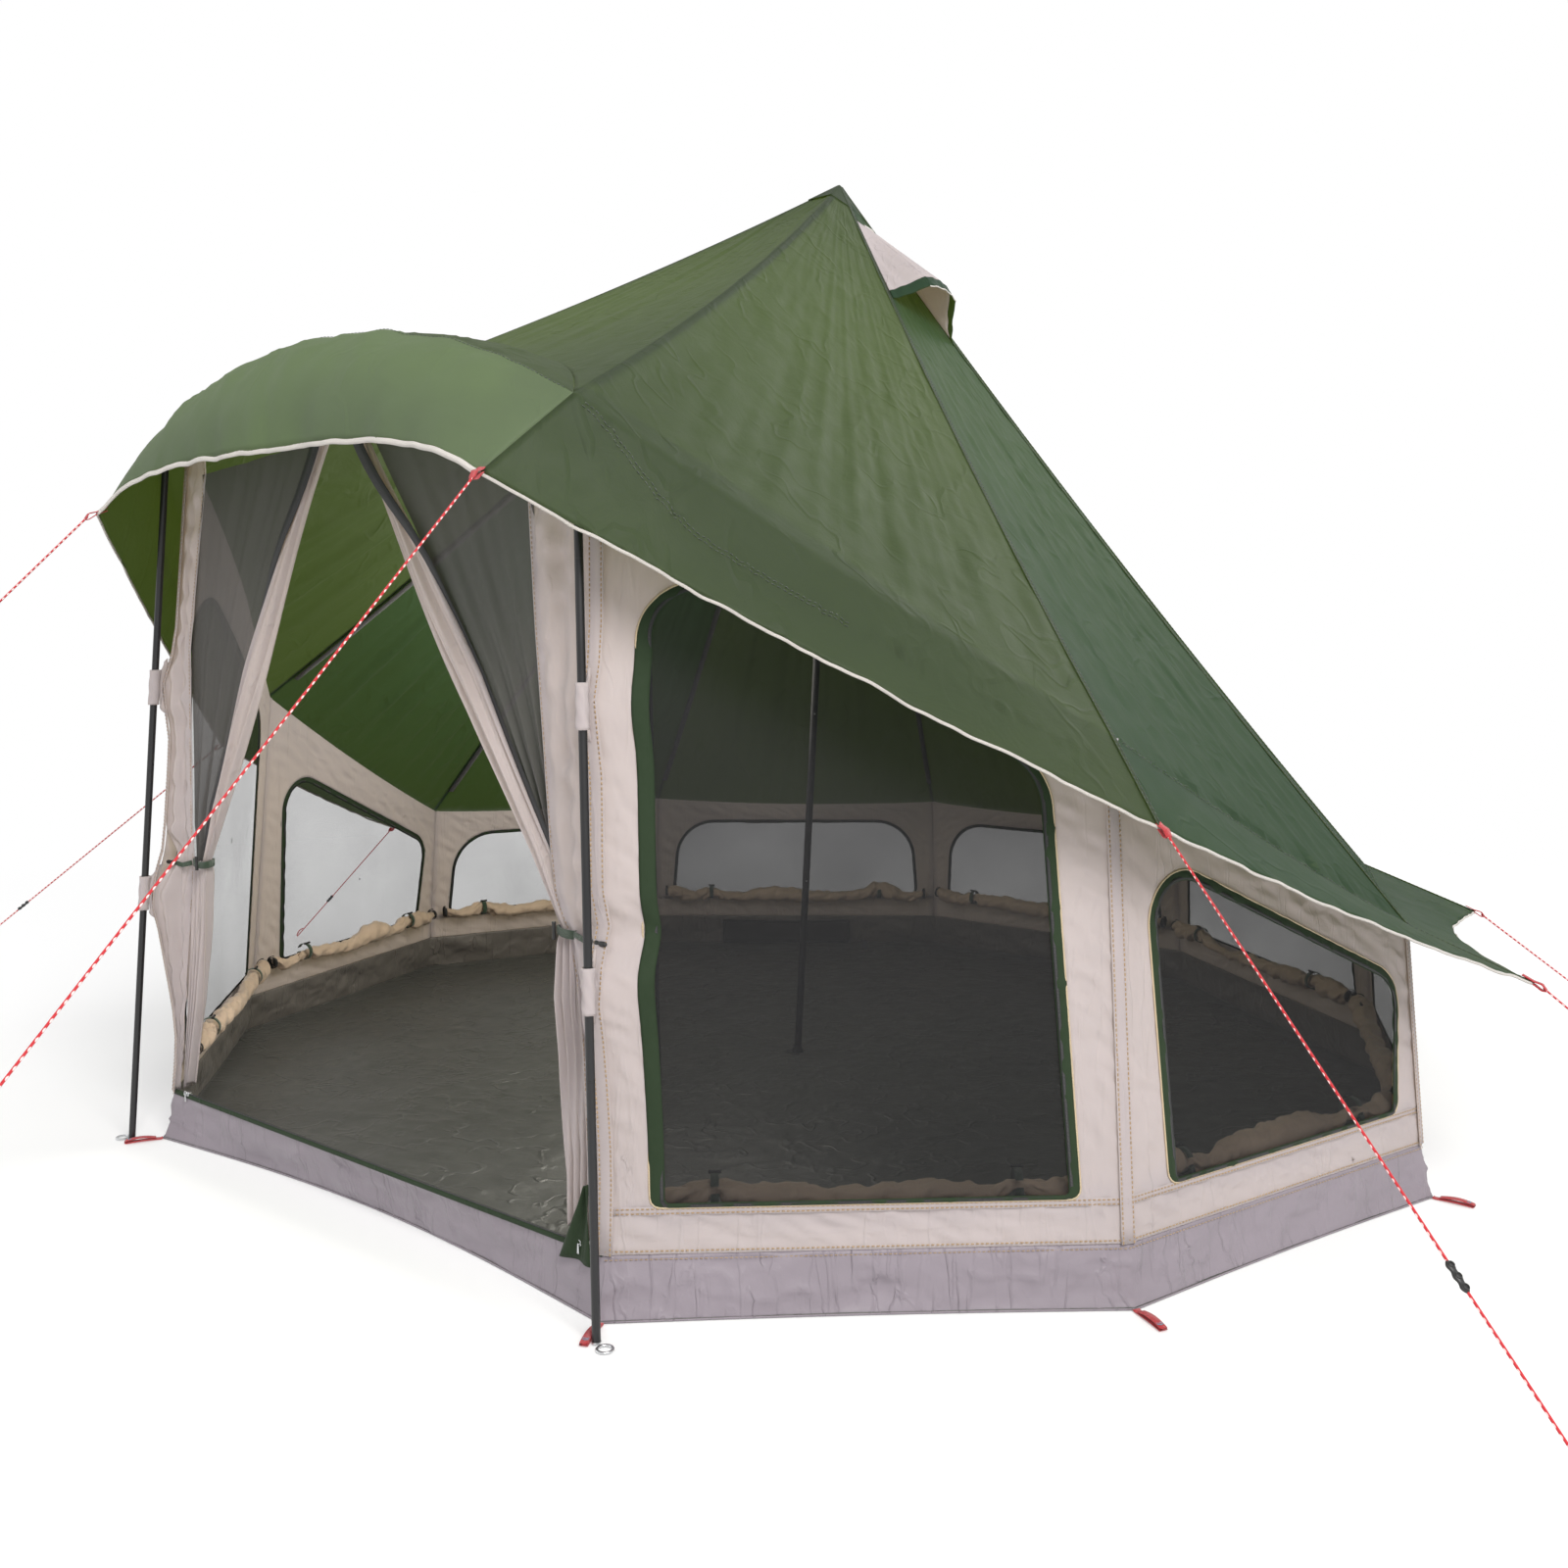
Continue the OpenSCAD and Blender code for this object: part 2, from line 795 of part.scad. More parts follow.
// Stiff hood, hinged at its top and standing open above the roof
module vent_hood(i) {
    color(cream_c)
        on_vent(i)
            translate([0, 0, vent_drop])
                rotate([vent_open, 0, 0])
                    linear_extrude(cloth_t)
                        polygon([[-18, 0], [18, 0], [vent_width / 2, vent_length],
                            [-vent_width / 2, vent_length]]);
}

module vent_strut(i) {
    color(steel_c)
        on_vent(i)
            translate([0, 0, vent_drop])
                rotate([vent_open, 0, 0])
                    translate([0, strut_pivot, -5])
                        rotate([-vent_open, 0, 0])
                            rotate([90 + strut_angle, 0, 0])
                                cylinder(h = strut_length, r = 3);
}

// ---- Guylines, loops and straps -----------------------------------------------------------

line_corners = [0, 1, 2, 3];
lift = 6;

function line_top(k, side = 1) =
    let (p = polar(eave_radius[k] + 22, eave_bearing[k], eave_h[k] - 10)) [side * p.x, p.y, p.z];
function line_foot(k, side = 1) = polar(anchor_radius[k], anchor_bearing[k], lift, side);

module guylines() {
    color(red_c)
        both_sides()
            for (k = line_corners)
                rod(line_top(k), line_foot(k), line_r);
}

// Red loop at each eave corner that has a guyline
module guy_loops() {
    color(red_c)
        both_sides()
            for (k = line_corners)
                along(line_top(k), line_foot(k))
                    translate([0, 0, 4])
                        difference() {
                            cylinder(h = 22, r = 7);
                            translate([0, 0, -1])
                                cylinder(h = 24, r = line_r + 1);
                        }
}

tensioner_place = [0.6, 0.558, 0.6, 0.6];
tensioner_size = [10, 18, 62];
tensioner_play = 0.5;

// Flat bar that slides on guyline k and holds it where it is set
module tensioner(k, side) {
    top = line_top(k, side);
    foot = line_foot(k, side);
    color(steel_c)
        along(top, foot)
            translate([0, 0, norm(foot - top) * tensioner_place[k]])
                difference() {
                    translate([-tensioner_size.x / 2, -tensioner_size.y / 2, 0])
                        cube(tensioner_size);
                    translate([0, 0, -1])
                        cylinder(h = tensioner_size.z + 2, r = line_r + tensioner_play);
                }
}

module peg_loops() {
    loop = [105, 20, 2.5];
    color(red_c)
        for (i = [0 : last]) {
            p = corner(i, 0, foot_flare + 3);
            translate([p.x, p.y, 0])
                rotate([0, 0, atan2(p.y, p.x)])
                    translate([0, -loop.y / 2, 0])
                        cube(loop);
        }
}

strap_h = [700, 1300];

// Wrap straps that hold the pillars to the door poles
module pole_straps() {
    strap_w = 80;
    color(cream_c)
        both_sides()
            for (h = strap_h)
                along(door_base, door_top)
                    translate([0, 0, h])
                        difference() {
                            cylinder(h = strap_w, r = door_r + 4);
                            translate([0, 0, -1])
                                cylinder(h = strap_w + 2, r = door_r + 1);
                        }
}

// Mesh pocket on the bathtub wall inside, on the left at the back
module storage_pocket() {
    color(mesh_c)
        on_wall(5)
            translate([420, 20, -34])
                cube([600, 105, 4]);
}

centre_pole_bottom();
centre_pole_middle();
centre_pole_top();
pole_button(1);  // pole_button_1
pole_button(2);  // pole_button_2
pole_button(3);  // pole_button_3
pole_button(4);  // pole_button_4
pole_foot_cup();
pole_top_cap();
door_pole_right();
door_pole_left();
porch_arch_pole();
arch_end_sockets();
door_pole_rings();
door_pole_pins();
groundsheet();
bathtub_walls();
door_sill_zip();
zip_slider(1);  // zip_slider_right
zip_slider(-1);  // zip_slider_left
front_walls();
side_walls();
low_walls();
door_pillars();
window_meshes();
window_surrounds();
window_flaps();
flap_ties();
door_leaf_right();
door_leaf_left();
door_tiebacks();
toggle(1);  // toggle_right
toggle(-1);  // toggle_left
roof_front();
roof_front_sides();
roof_sides();
roof_rear();
roof_peak_patch();
porch_canopy();
eave_binding();
hip_tapes();
vent_hood(1);  // vent_hood_right
vent_hood(7);  // vent_hood_left
vent_meshes();
vent_strut(1);  // vent_strut_right
vent_strut(7);  // vent_strut_left
guylines();
guy_loops();
peg_loops();
pole_straps();
storage_pocket();
tensioner(0, 1);  // tensioner_front_right
tensioner(0, -1);  // tensioner_front_left
tensioner(1, 1);  // tensioner_side_right
tensioner(1, -1);  // tensioner_side_left
tensioner(2, 1);  // tensioner_mid_right
tensioner(2, -1);  // tensioner_mid_left
tensioner(3, 1);  // tensioner_rear_right
tensioner(3, -1);  // tensioner_rear_left
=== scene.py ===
"""Looks of the screen house: fabric, netting, webbing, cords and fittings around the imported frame.

Metres, +Z up. The origin is on the ground in the middle of the floor and the door faces -Y, as in the frame.
Walls and roof sectors are numbered from the right of the door round the back to the left of the door."""
import json
import math

import bmesh
import bpy
import numpy as np
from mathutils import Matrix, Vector


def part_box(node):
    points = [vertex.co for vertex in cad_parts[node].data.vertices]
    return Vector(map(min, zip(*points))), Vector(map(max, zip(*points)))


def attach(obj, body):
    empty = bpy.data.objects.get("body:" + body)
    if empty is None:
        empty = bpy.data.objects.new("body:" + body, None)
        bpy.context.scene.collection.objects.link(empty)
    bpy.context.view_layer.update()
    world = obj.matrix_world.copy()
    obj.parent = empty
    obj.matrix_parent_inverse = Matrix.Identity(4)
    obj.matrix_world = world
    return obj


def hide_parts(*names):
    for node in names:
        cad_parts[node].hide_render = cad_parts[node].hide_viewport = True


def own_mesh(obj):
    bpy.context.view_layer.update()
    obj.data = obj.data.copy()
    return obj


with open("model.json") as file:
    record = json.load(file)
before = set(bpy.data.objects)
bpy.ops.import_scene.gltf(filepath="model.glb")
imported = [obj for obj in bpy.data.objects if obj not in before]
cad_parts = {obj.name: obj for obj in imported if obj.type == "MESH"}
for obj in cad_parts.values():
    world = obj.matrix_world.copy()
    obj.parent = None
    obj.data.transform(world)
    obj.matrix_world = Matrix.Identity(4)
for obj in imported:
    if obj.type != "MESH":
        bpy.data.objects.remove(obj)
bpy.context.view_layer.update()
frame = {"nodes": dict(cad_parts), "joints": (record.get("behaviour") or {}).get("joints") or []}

TENT = "tent"
CORNERS = 10                    # corners of the plan, and as many sides
DOOR_WALL = 9                   # the side with the door, after the cloth walls 0 to 8

# ---- Driving dimensions, the same as the frame's -------------------------------------------------
CORNER_RADIUS = [2.066, 2.085, 2.120, 1.979, 1.978]
CORNER_BEARING = [-63.6, -30.9, 0.3, 31.4, 71.4]
EAVE_RADIUS = [2.193, 2.150, 2.355, 2.274, 2.270]
EAVE_BEARING = [-68.7, -30.9, 0.3, 31.4, 71.4]
EAVE_H = [1.815, 1.084, 0.616, 0.573, 0.580]
WALL_TOP = [1.990, 1.240, 0.695, 0.695, 0.680]
FOOT_FLARE = 0.020
LEAN = 0.050
PEAK = np.array([0.100, 0.100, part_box("roof_peak_patch")[1].z])
TUB_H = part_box("bathtub_walls")[1].z
SILL_H = 0.245
HIP_SAG = 0.045
PANEL_SAG = 0.018
DOOR_TOP = np.array([0.840, -1.820, 1.960])
DOOR_FOOT = np.array([0.985, -1.935, 0.006])
ARCH_RISE = 0.215
ARCH_HALF = DOOR_TOP[0] - 0.009
KNEE_X = DOOR_TOP[0] + 0.015    # place in x of the roof's knees beside the door
BAND_SIDES = {0: (0.007, 0.024, 0.020, 0.030), 1: (0.007, 0.018, 0.022, 0.026)}
BAND_LOW = (0.007, 0.014, 0.014, 0.014)
ROLL_R = 0.034
ROLL_IN = 0.042
ROLL_END = 0.070
TIE_H = 0.830
TIE_SLACK = 0.34                # how much less the cloth is drawn forward behind the right toggle
TIE_X = {1: 0.755, -1: 0.800}
LEAF_Y = -1.770
VENT_FROM = 0.085
VENT_OPEN = math.radians(14)
VENT_LENGTH = 0.450
VENT_WIDTH = 0.130
REAR_CUT = 0.44                 # depth of the curved cut in the overhang of the rear wings
VENT_BAND = 0.042               # green band along the lower edge of a vent hood
UP = np.array([0.0, 0.0, 1.0])

# ---- Points of the plan ---------------------------------------------------------------------------


def unit(v):
    v = np.asarray(v, float)
    return v / np.linalg.norm(v)


def lerp(a, b, t):
    return a + (b - a) * t


def smooth(x):
    x = np.clip(x, 0, 1)
    return x * x * (3 - 2 * x)


def twin(i):
    return i if i < 5 else DOOR_WALL - i


def side_of(i):
    return 1 if i < 5 else -1


def side_word(side):
    return "right" if side > 0 else "left"


def node_box(name):
    """Lowest and highest corners of a node of the frame."""
    return [np.array(v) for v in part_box(name)]


def nxt(i):
    return (i + 1) % CORNERS


def polar(radius, bearing, z, side=1):
    a = math.radians(bearing)
    return np.array([side * radius * math.cos(a), radius * math.sin(a), z])


def corner(i, h, grow=0.0):
    k = twin(i)
    return polar((CORNER_RADIUS[k] + grow) * (1 - LEAN * h), CORNER_BEARING[k], h, side_of(i))


def knee(i):
    k = twin(i)
    if k == 0:
        return np.array([side_of(i) * KNEE_X, DOOR_TOP[1] - 0.020, DOOR_TOP[2] + 0.030])
    return corner(i, WALL_TOP[k] + 0.030, 0.005)


def eave(i):
    k = twin(i)
    return polar(EAVE_RADIUS[k], EAVE_BEARING[k], EAVE_H[k], side_of(i))


def hip(i, t):
    """Point t along hip i: 0 at the peak, 1 at the knee, 2 at the eave corner."""
    if t > 1:
        return lerp(knee(i), eave(i), t - 1)
    return lerp(PEAK, knee(i), t) - UP * HIP_SAG * 4 * t * (1 - t)


def roof_point(i, s, t):
    sag = PANEL_SAG * 4 * s * (1 - s) * min(t, 1) * (1 + 0.8 * math.sin(math.pi * min(t, 1)))
    return lerp(hip(i, t), hip(nxt(i), t), s) - UP * sag


def wall_frame(i):
    """Start corner of wall i, and its directions: along, up the wall, outwards."""
    a, b = corner(i, 0), corner(nxt(i), 0)
    along = unit(b - a)
    inward = np.cross(UP, along)
    tilt = math.atan(LEAN * abs(np.dot(a, inward)))
    up = inward * math.sin(tilt) + UP * math.cos(tilt)
    return a, along, up, np.cross(along, up), math.cos(tilt), np.linalg.norm(b - a)


STRAP_H = (0.740, 1.335)        # middle heights of the cloth wraps around the door poles
STRAP_FROM = (0.700, 1.300)     # where they start along a pole


def strap_pull(h):
    """How far the cloth at the door corners is drawn towards the pole, as a share of the gap, at height h."""
    near = sum(np.exp(-((h - strap) / 0.085) ** 2) for strap in STRAP_H)
    return 0.60 * smooth((h - SILL_H) / 0.45) + 0.22 * np.minimum(near, 1)


def corner_pull(i, h):
    """Shift of corner 0 or 9 at heights h towards its door pole."""
    h = np.asarray(h, float)[..., None]
    edge = corner(i, 0) * [1, 1, 0] * (1 - LEAN * h) + UP * h
    share = (h - DOOR_FOOT[2]) / (DOOR_TOP[2] - DOOR_FOOT[2])
    pole = (DOOR_FOOT + (DOOR_TOP - DOOR_FOOT) * share) * [side_of(i), 1, 1]
    slack = TIE_SLACK * np.exp(-((h - TIE_H - 0.015) / 0.055) ** 2) if i == 0 else 0
    return (pole - edge) * [1, 1, 0] * (strap_pull(h) - slack)


def pulled_corner(i, h, grow=0.0):
    return corner(i, h, grow) + (corner_pull(i, h) if i in (0, DOOR_WALL) else 0)


def wall_point(i, uv, out=0.0):
    """Points of wall i; the walls beside the door are drawn forward at their door corner."""
    a, along, up, normal, _, length = wall_frame(i)
    uv = np.asarray(uv, float)
    out = np.asarray(out, float)
    place = a + uv[..., :1] * along + uv[..., 1:2] * up + out[..., None] * normal
    if i in (0, DOOR_WALL - 1):
        start = 0 if i == 0 else DOOR_WALL
        far = uv[..., 0] if i == 0 else length - uv[..., 0]
        near = np.clip(1 - far / (0.55 * length), 0, 1) ** 1.6
        place = place + corner_pull(start, place[..., 2]) * near[..., None]
    return place


def wall_uv(i, end, h):
    """Place in wall i's frame of its corner edge at height h; end is 0 at its start and 1 at its end."""
    _, along, _, _, cosine, length = wall_frame(i)
    c = corner(nxt(i) if end else i, 0)
    return np.array([length * end - LEAN * h * np.dot(c, along), h / cosine])


# ---- Relief ---------------------------------------------------------------------------------------


def ripples(seed, short, long, direction=None, spread=0.5, count=28):
    """Smooth seeded relief of about +-1: waves with lengths from short to long, across a direction."""
    rng = np.random.default_rng(seed)
    length = short * (long / short) ** rng.random(count)
    if direction is None:
        angle = rng.random(count) * math.pi
    else:
        angle = math.radians(direction) + rng.normal(0, spread, count)
    phase = rng.random(count) * 2 * math.pi
    weight = (length / long) ** 0.7
    weight /= math.sqrt(np.sum(weight ** 2) / 2)

    def relief(u, v):
        total = np.zeros(np.broadcast(u, v).shape)
        for k in range(count):
            wave = 2 * math.pi / length[k]
            total += weight[k] * np.sin(wave * (u * math.cos(angle[k]) + v * math.sin(angle[k])) + phase[k])
        return total

    return relief


def creases(seed, short, long, direction=None, spread=0.5):
    """Sharp-crested relief from 0 to 1, like the folds of a sheet that was packed."""
    base = ripples(seed, short, long, direction, spread)
    return lambda u, v: np.exp(-3.5 * np.abs(base(u, v)))


# ---- Materials ------------------------------------------------------------------------------------


class Nodes:
    """Small helper that adds and links shader nodes of one material."""

    def __init__(self, name):
        self.material = bpy.data.materials.new(name)
        self.material.use_nodes = True
        self.tree = self.material.node_tree
        self.tree.nodes.clear()
        self.out = self.add("ShaderNodeOutputMaterial")
        self.uv = self.add("ShaderNodeUVMap").outputs[0]
        self.place = self.add("ShaderNodeTexCoord").outputs["Object"]

    def add(self, kind, inputs=None, **settings):
        node = self.tree.nodes.new(kind)
        for key, value in settings.items():
            setattr(node, key, value)
        for key, value in (inputs or {}).items():
            if isinstance(value, bpy.types.NodeSocket):
                self.tree.links.new(value, node.inputs[key])
            else:
                node.inputs[key].default_value = value
        return node

    def noise(self, scale, detail=4.0, vector=None, rough=0.5, distortion=0.0):
        inputs = {"Vector": vector or self.place, "Scale": scale, "Detail": detail, "Roughness": rough,
                  "Distortion": distortion}
        return self.add("ShaderNodeTexNoise", inputs).outputs["Fac"]

    def math(self, operation, a, b=0.0, c=0.0):
        return self.add("ShaderNodeMath", {0: a, 1: b, 2: c}, operation=operation).outputs[0]

    def remap(self, value, low, high, to_low=0.0, to_high=1.0):
        return self.add("ShaderNodeMapRange", {"Value": value, "From Min": low, "From Max": high,
                                               "To Min": to_low, "To Max": to_high}).outputs[0]

    def mix(self, factor, a, b, kind="MIX"):
        node = self.add("ShaderNodeMix", {0: factor}, data_type="RGBA", blend_type=kind)
        for index, value in ((6, a), (7, b)):
            if isinstance(value, bpy.types.NodeSocket):
                self.tree.links.new(value, node.inputs[index])
            else:
                node.inputs[index].default_value = (*value, 1.0)
        return node.outputs[2]

    def bands(self, axis, pitch, vector=None):
        """Rounded ridges across one axis of the UV map, one each pitch metres."""
        split = self.add("ShaderNodeSeparateXYZ", {0: vector or self.uv})
        turn = self.math("MULTIPLY", split.outputs[axis], 2 * math.pi / pitch)
        return self.math("SINE", turn)

    def bump(self, height, distance, strength=1.0, below=None):
        inputs = {"Height": height, "Distance": distance, "Strength": strength}
        if below is not None:
            inputs["Normal"] = below
        return self.add("ShaderNodeBump", inputs).outputs[0]

    def principled(self, **inputs):
        names = {"color": "Base Color", "rough": "Roughness", "metal": "Metallic", "normal": "Normal",
                 "sheen": "Sheen Weight", "sheen_rough": "Sheen Roughness", "coat": "Coat Weight",
                 "specular": "Specular IOR Level", "coat_rough": "Coat Roughness"}
        values = {}
        for key, value in inputs.items():
            if key == "color" and not isinstance(value, bpy.types.NodeSocket):
                value = (*value, 1.0)
            values[names[key]] = value
        return self.add("ShaderNodeBsdfPrincipled", values).outputs[0]

    def blend(self, factor, a, b):
        return self.add("ShaderNodeMixShader", {0: factor, 1: a, 2: b}).outputs[0]

    def finish(self, shader):
        self.tree.links.new(shader, self.out.inputs["Surface"])
        return self.material


def shade(color, factor, lift=0.0):
    return [min(1.0, c * factor + lift) for c in color]


def packing_folds(n, scale):
    """Short sharp fold lines that packing leaves in a sheet, in two directions."""
    total = None
    for turn in (0.5, 2.1):
        place = n.add("ShaderNodeMapping", {"Vector": n.place, "Rotation": (turn, 0.7 * turn, 1.3 * turn),
                                            "Scale": (1.0, 1.0, 0.12)}).outputs[0]
        wave = n.noise(scale, 2, place, distortion=0.25)
        line = n.remap(n.math("ABSOLUTE", n.math("SUBTRACT", wave, 0.5)), 0.0, 0.035, 1.0, 0.0)
        patch = n.remap(n.noise(0.8 * scale, 2, place), 0.46, 0.58)
        fold = n.math("MULTIPLY", line, patch)
        total = fold if total is None else n.math("ADD", total, fold)
    return total


def fabric(name, color, rough=0.75, sheen=0.25, weave=0.0012, weave_depth=0.00006, crease=0.0015,
           crease_scale=9.0, fine=45.0, glow=0.0, glow_color=None, inner=None, variation=0.08, specular=0.35,
           fold_scale=9.0, fold_depth=0.0016):
    """Plain-woven cloth: threads, a fine crumple, larger creases and uneven tone; glow lets light through."""
    n = Nodes(name)
    tone = n.noise(2.3, 5, rough=0.6)
    base = n.mix(n.remap(tone, 0.3, 0.7), shade(color, 1 - variation), shade(color, 1 + variation))
    if inner is not None:
        geometry = n.add("ShaderNodeNewGeometry")
        flat = n.add("ShaderNodeVectorMath", {0: n.place, 1: (1, 1, 0)}, operation="MULTIPLY").outputs[0]
        facing = n.add("ShaderNodeVectorMath", {0: geometry.outputs["Normal"], 1: flat},
                       operation="DOT_PRODUCT").outputs["Value"]
        base = n.mix(n.math("GREATER_THAN", facing, 0.0), inner, base)
    warp = n.noise(crease_scale, 6, rough=0.62, distortion=0.9)
    soft = n.bump(warp, crease, 0.8)
    folded = n.bump(packing_folds(n, fold_scale), fold_depth, 0.8, soft)
    crumple = n.bump(n.noise(fine, 4, rough=0.55, distortion=0.4), crease * 0.25, 0.7, folded)
    threads = n.math("MULTIPLY", n.bands(0, weave), n.bands(1, weave))
    woven = n.bump(threads, weave_depth, 0.5, crumple)
    worn = n.remap(n.noise(fine * 0.6, 3), 0.3, 0.7, rough - 0.06, rough + 0.06)
    cloth = n.principled(color=base, rough=worn, sheen=sheen, sheen_rough=0.4, normal=woven,
                         specular=specular)
    if glow > 0:
        light = n.add("ShaderNodeBsdfTranslucent", {"Color": (*(glow_color or color), 1.0), "Normal": woven})
        cloth = n.blend(glow, cloth, light.outputs[0])
    return n.finish(cloth)


def netting(name, color, cover=0.52, pitch=0.0016, outside_shade_cover=None):
    """Insect netting: a fine grid of threads with clear holes; seen from outside its threads cover more,
    painted shade over the dim inside.
    """
    n = Nodes(name)
    across = n.math("ABSOLUTE", n.bands(0, 2 * pitch))
    down = n.math("ABSOLUTE", n.bands(1, 2 * pitch))
    hole = n.math("MULTIPLY", across, down)
    uneven = n.remap(n.noise(3.0, 3), 0.3, 0.7, -0.04, 0.04)
    thread = n.remap(hole, 0.15, 0.65, 0.22, -0.22)
    back = n.add("ShaderNodeNewGeometry").outputs["Backfacing"]
    # From outside the dark threads cover more: painted shade that darkens the view into the tent.
    share = n.remap(back, 0.0, 1.0, cover, outside_shade_cover or cover)
    factor = n.math("ADD", n.math("ADD", thread, share), uneven)
    solid = n.principled(color=color, rough=0.9, specular=0.08, normal=n.bump(hole, 0.0002, 0.4))
    clear = n.add("ShaderNodeBsdfTransparent").outputs[0]
    return n.finish(n.blend(factor, clear, solid))


def steel(name, color, metal=0.0, rough=0.35, wear=0.5):
    """Coated or plated tube: orange-peel coat and brighter rubbed patches."""
    n = Nodes(name)
    rubbed = n.remap(n.noise(60, 6, rough=0.7), 0.62, 0.75)
    grime = n.noise(9, 4)
    tone = n.mix(grime, shade(color, 0.8), shade(color, 1.25))
    base = n.mix(n.math("MULTIPLY", rubbed, wear), tone, shade(color, 3, 0.04))
    peel = n.bump(n.noise(900, 2), 0.00008, 0.35)
    uneven = n.remap(grime, 0.3, 0.7, rough - 0.07, rough + 0.1)
    return n.finish(n.principled(color=base, rough=uneven, metal=metal, normal=peel, coat=0.15,
                                 coat_rough=0.2))


def plastic(name, color, rough=0.45):
    """Moulded plastic with a fine spark-eroded grain and slight scuffs."""
    n = Nodes(name)
    scuff = n.remap(n.noise(120, 5, rough=0.7), 0.55, 0.75, 0.0, 0.25)
    base = n.mix(scuff, color, shade(color, 1.8, 0.02))
    grain = n.bump(n.noise(1800, 2), 0.00005, 0.4)
    return n.finish(n.principled(color=base, rough=n.math("ADD", scuff, rough), normal=grain))


def webbing(name, color, rib=0.0022, edge=None):
    """Flat woven tape with ribs along it and a herringbone of threads across; its colour is darker in the
    grooves and lighter on the ribs, painted shade and painted light.
    """
    n = Nodes(name)
    ribs = n.bands(1, rib)
    cross = n.bands(0, rib * 0.8)
    height = n.math("ADD", ribs, n.math("MULTIPLY", cross, 0.4))
    # Colour follows the height of the weave: painted shade in the grooves and painted light on the ribs.
    tone = n.remap(height, -1.2, 1.2, 0.0, 1.0)
    base = n.mix(tone, shade(color, 0.72), shade(color, 1.12))
    if edge is not None:
        base = n.mix(n.math("MULTIPLY", n.noise(30, 2), 0.3), base, edge)
    return n.finish(n.principled(color=base, rough=0.7, sheen=0.3, normal=n.bump(height, 0.0003, 0.7)))


def cord(name, color, fleck, pitch=0.012):
    """Braided cord: crossing strands, with pale flecks that climb around it."""
    n = Nodes(name)
    split = n.add("ShaderNodeSeparateXYZ", {0: n.uv})
    along = n.math("MULTIPLY", split.outputs[0], 2 * math.pi / pitch)
    around = n.math("MULTIPLY", split.outputs[1], 2 * math.pi)
    left = n.math("SINE", n.math("ADD", along, around))
    right = n.math("SINE", n.math("SUBTRACT", along, around))
    braid = n.math("MAXIMUM", left, right)
    spot = n.math("GREATER_THAN", n.math("MULTIPLY", left, right), 0.50)
    base = n.mix(spot, color, fleck)
    return n.finish(n.principled(color=base, rough=0.65, sheen=0.2, normal=n.bump(braid, 0.0006, 0.8)))


def zip_tape(name, color, teeth):
    """Zip: woven tape with a raised line of small teeth down its middle (the V axis runs across it)."""
    n = Nodes(name)
    split = n.add("ShaderNodeSeparateXYZ", {0: n.uv})
    middle = n.math("LESS_THAN", n.math("ABSOLUTE", n.math("SUBTRACT", split.outputs[1], 0.5)), 0.2)
    tooth = n.bands(0, 0.0032)
    base = n.mix(n.math("MULTIPLY", middle, n.remap(tooth, -0.2, 0.4)), color, teeth)
    return n.finish(n.principled(color=base, rough=0.5, normal=n.bump(tooth, 0.0006, 0.8)))


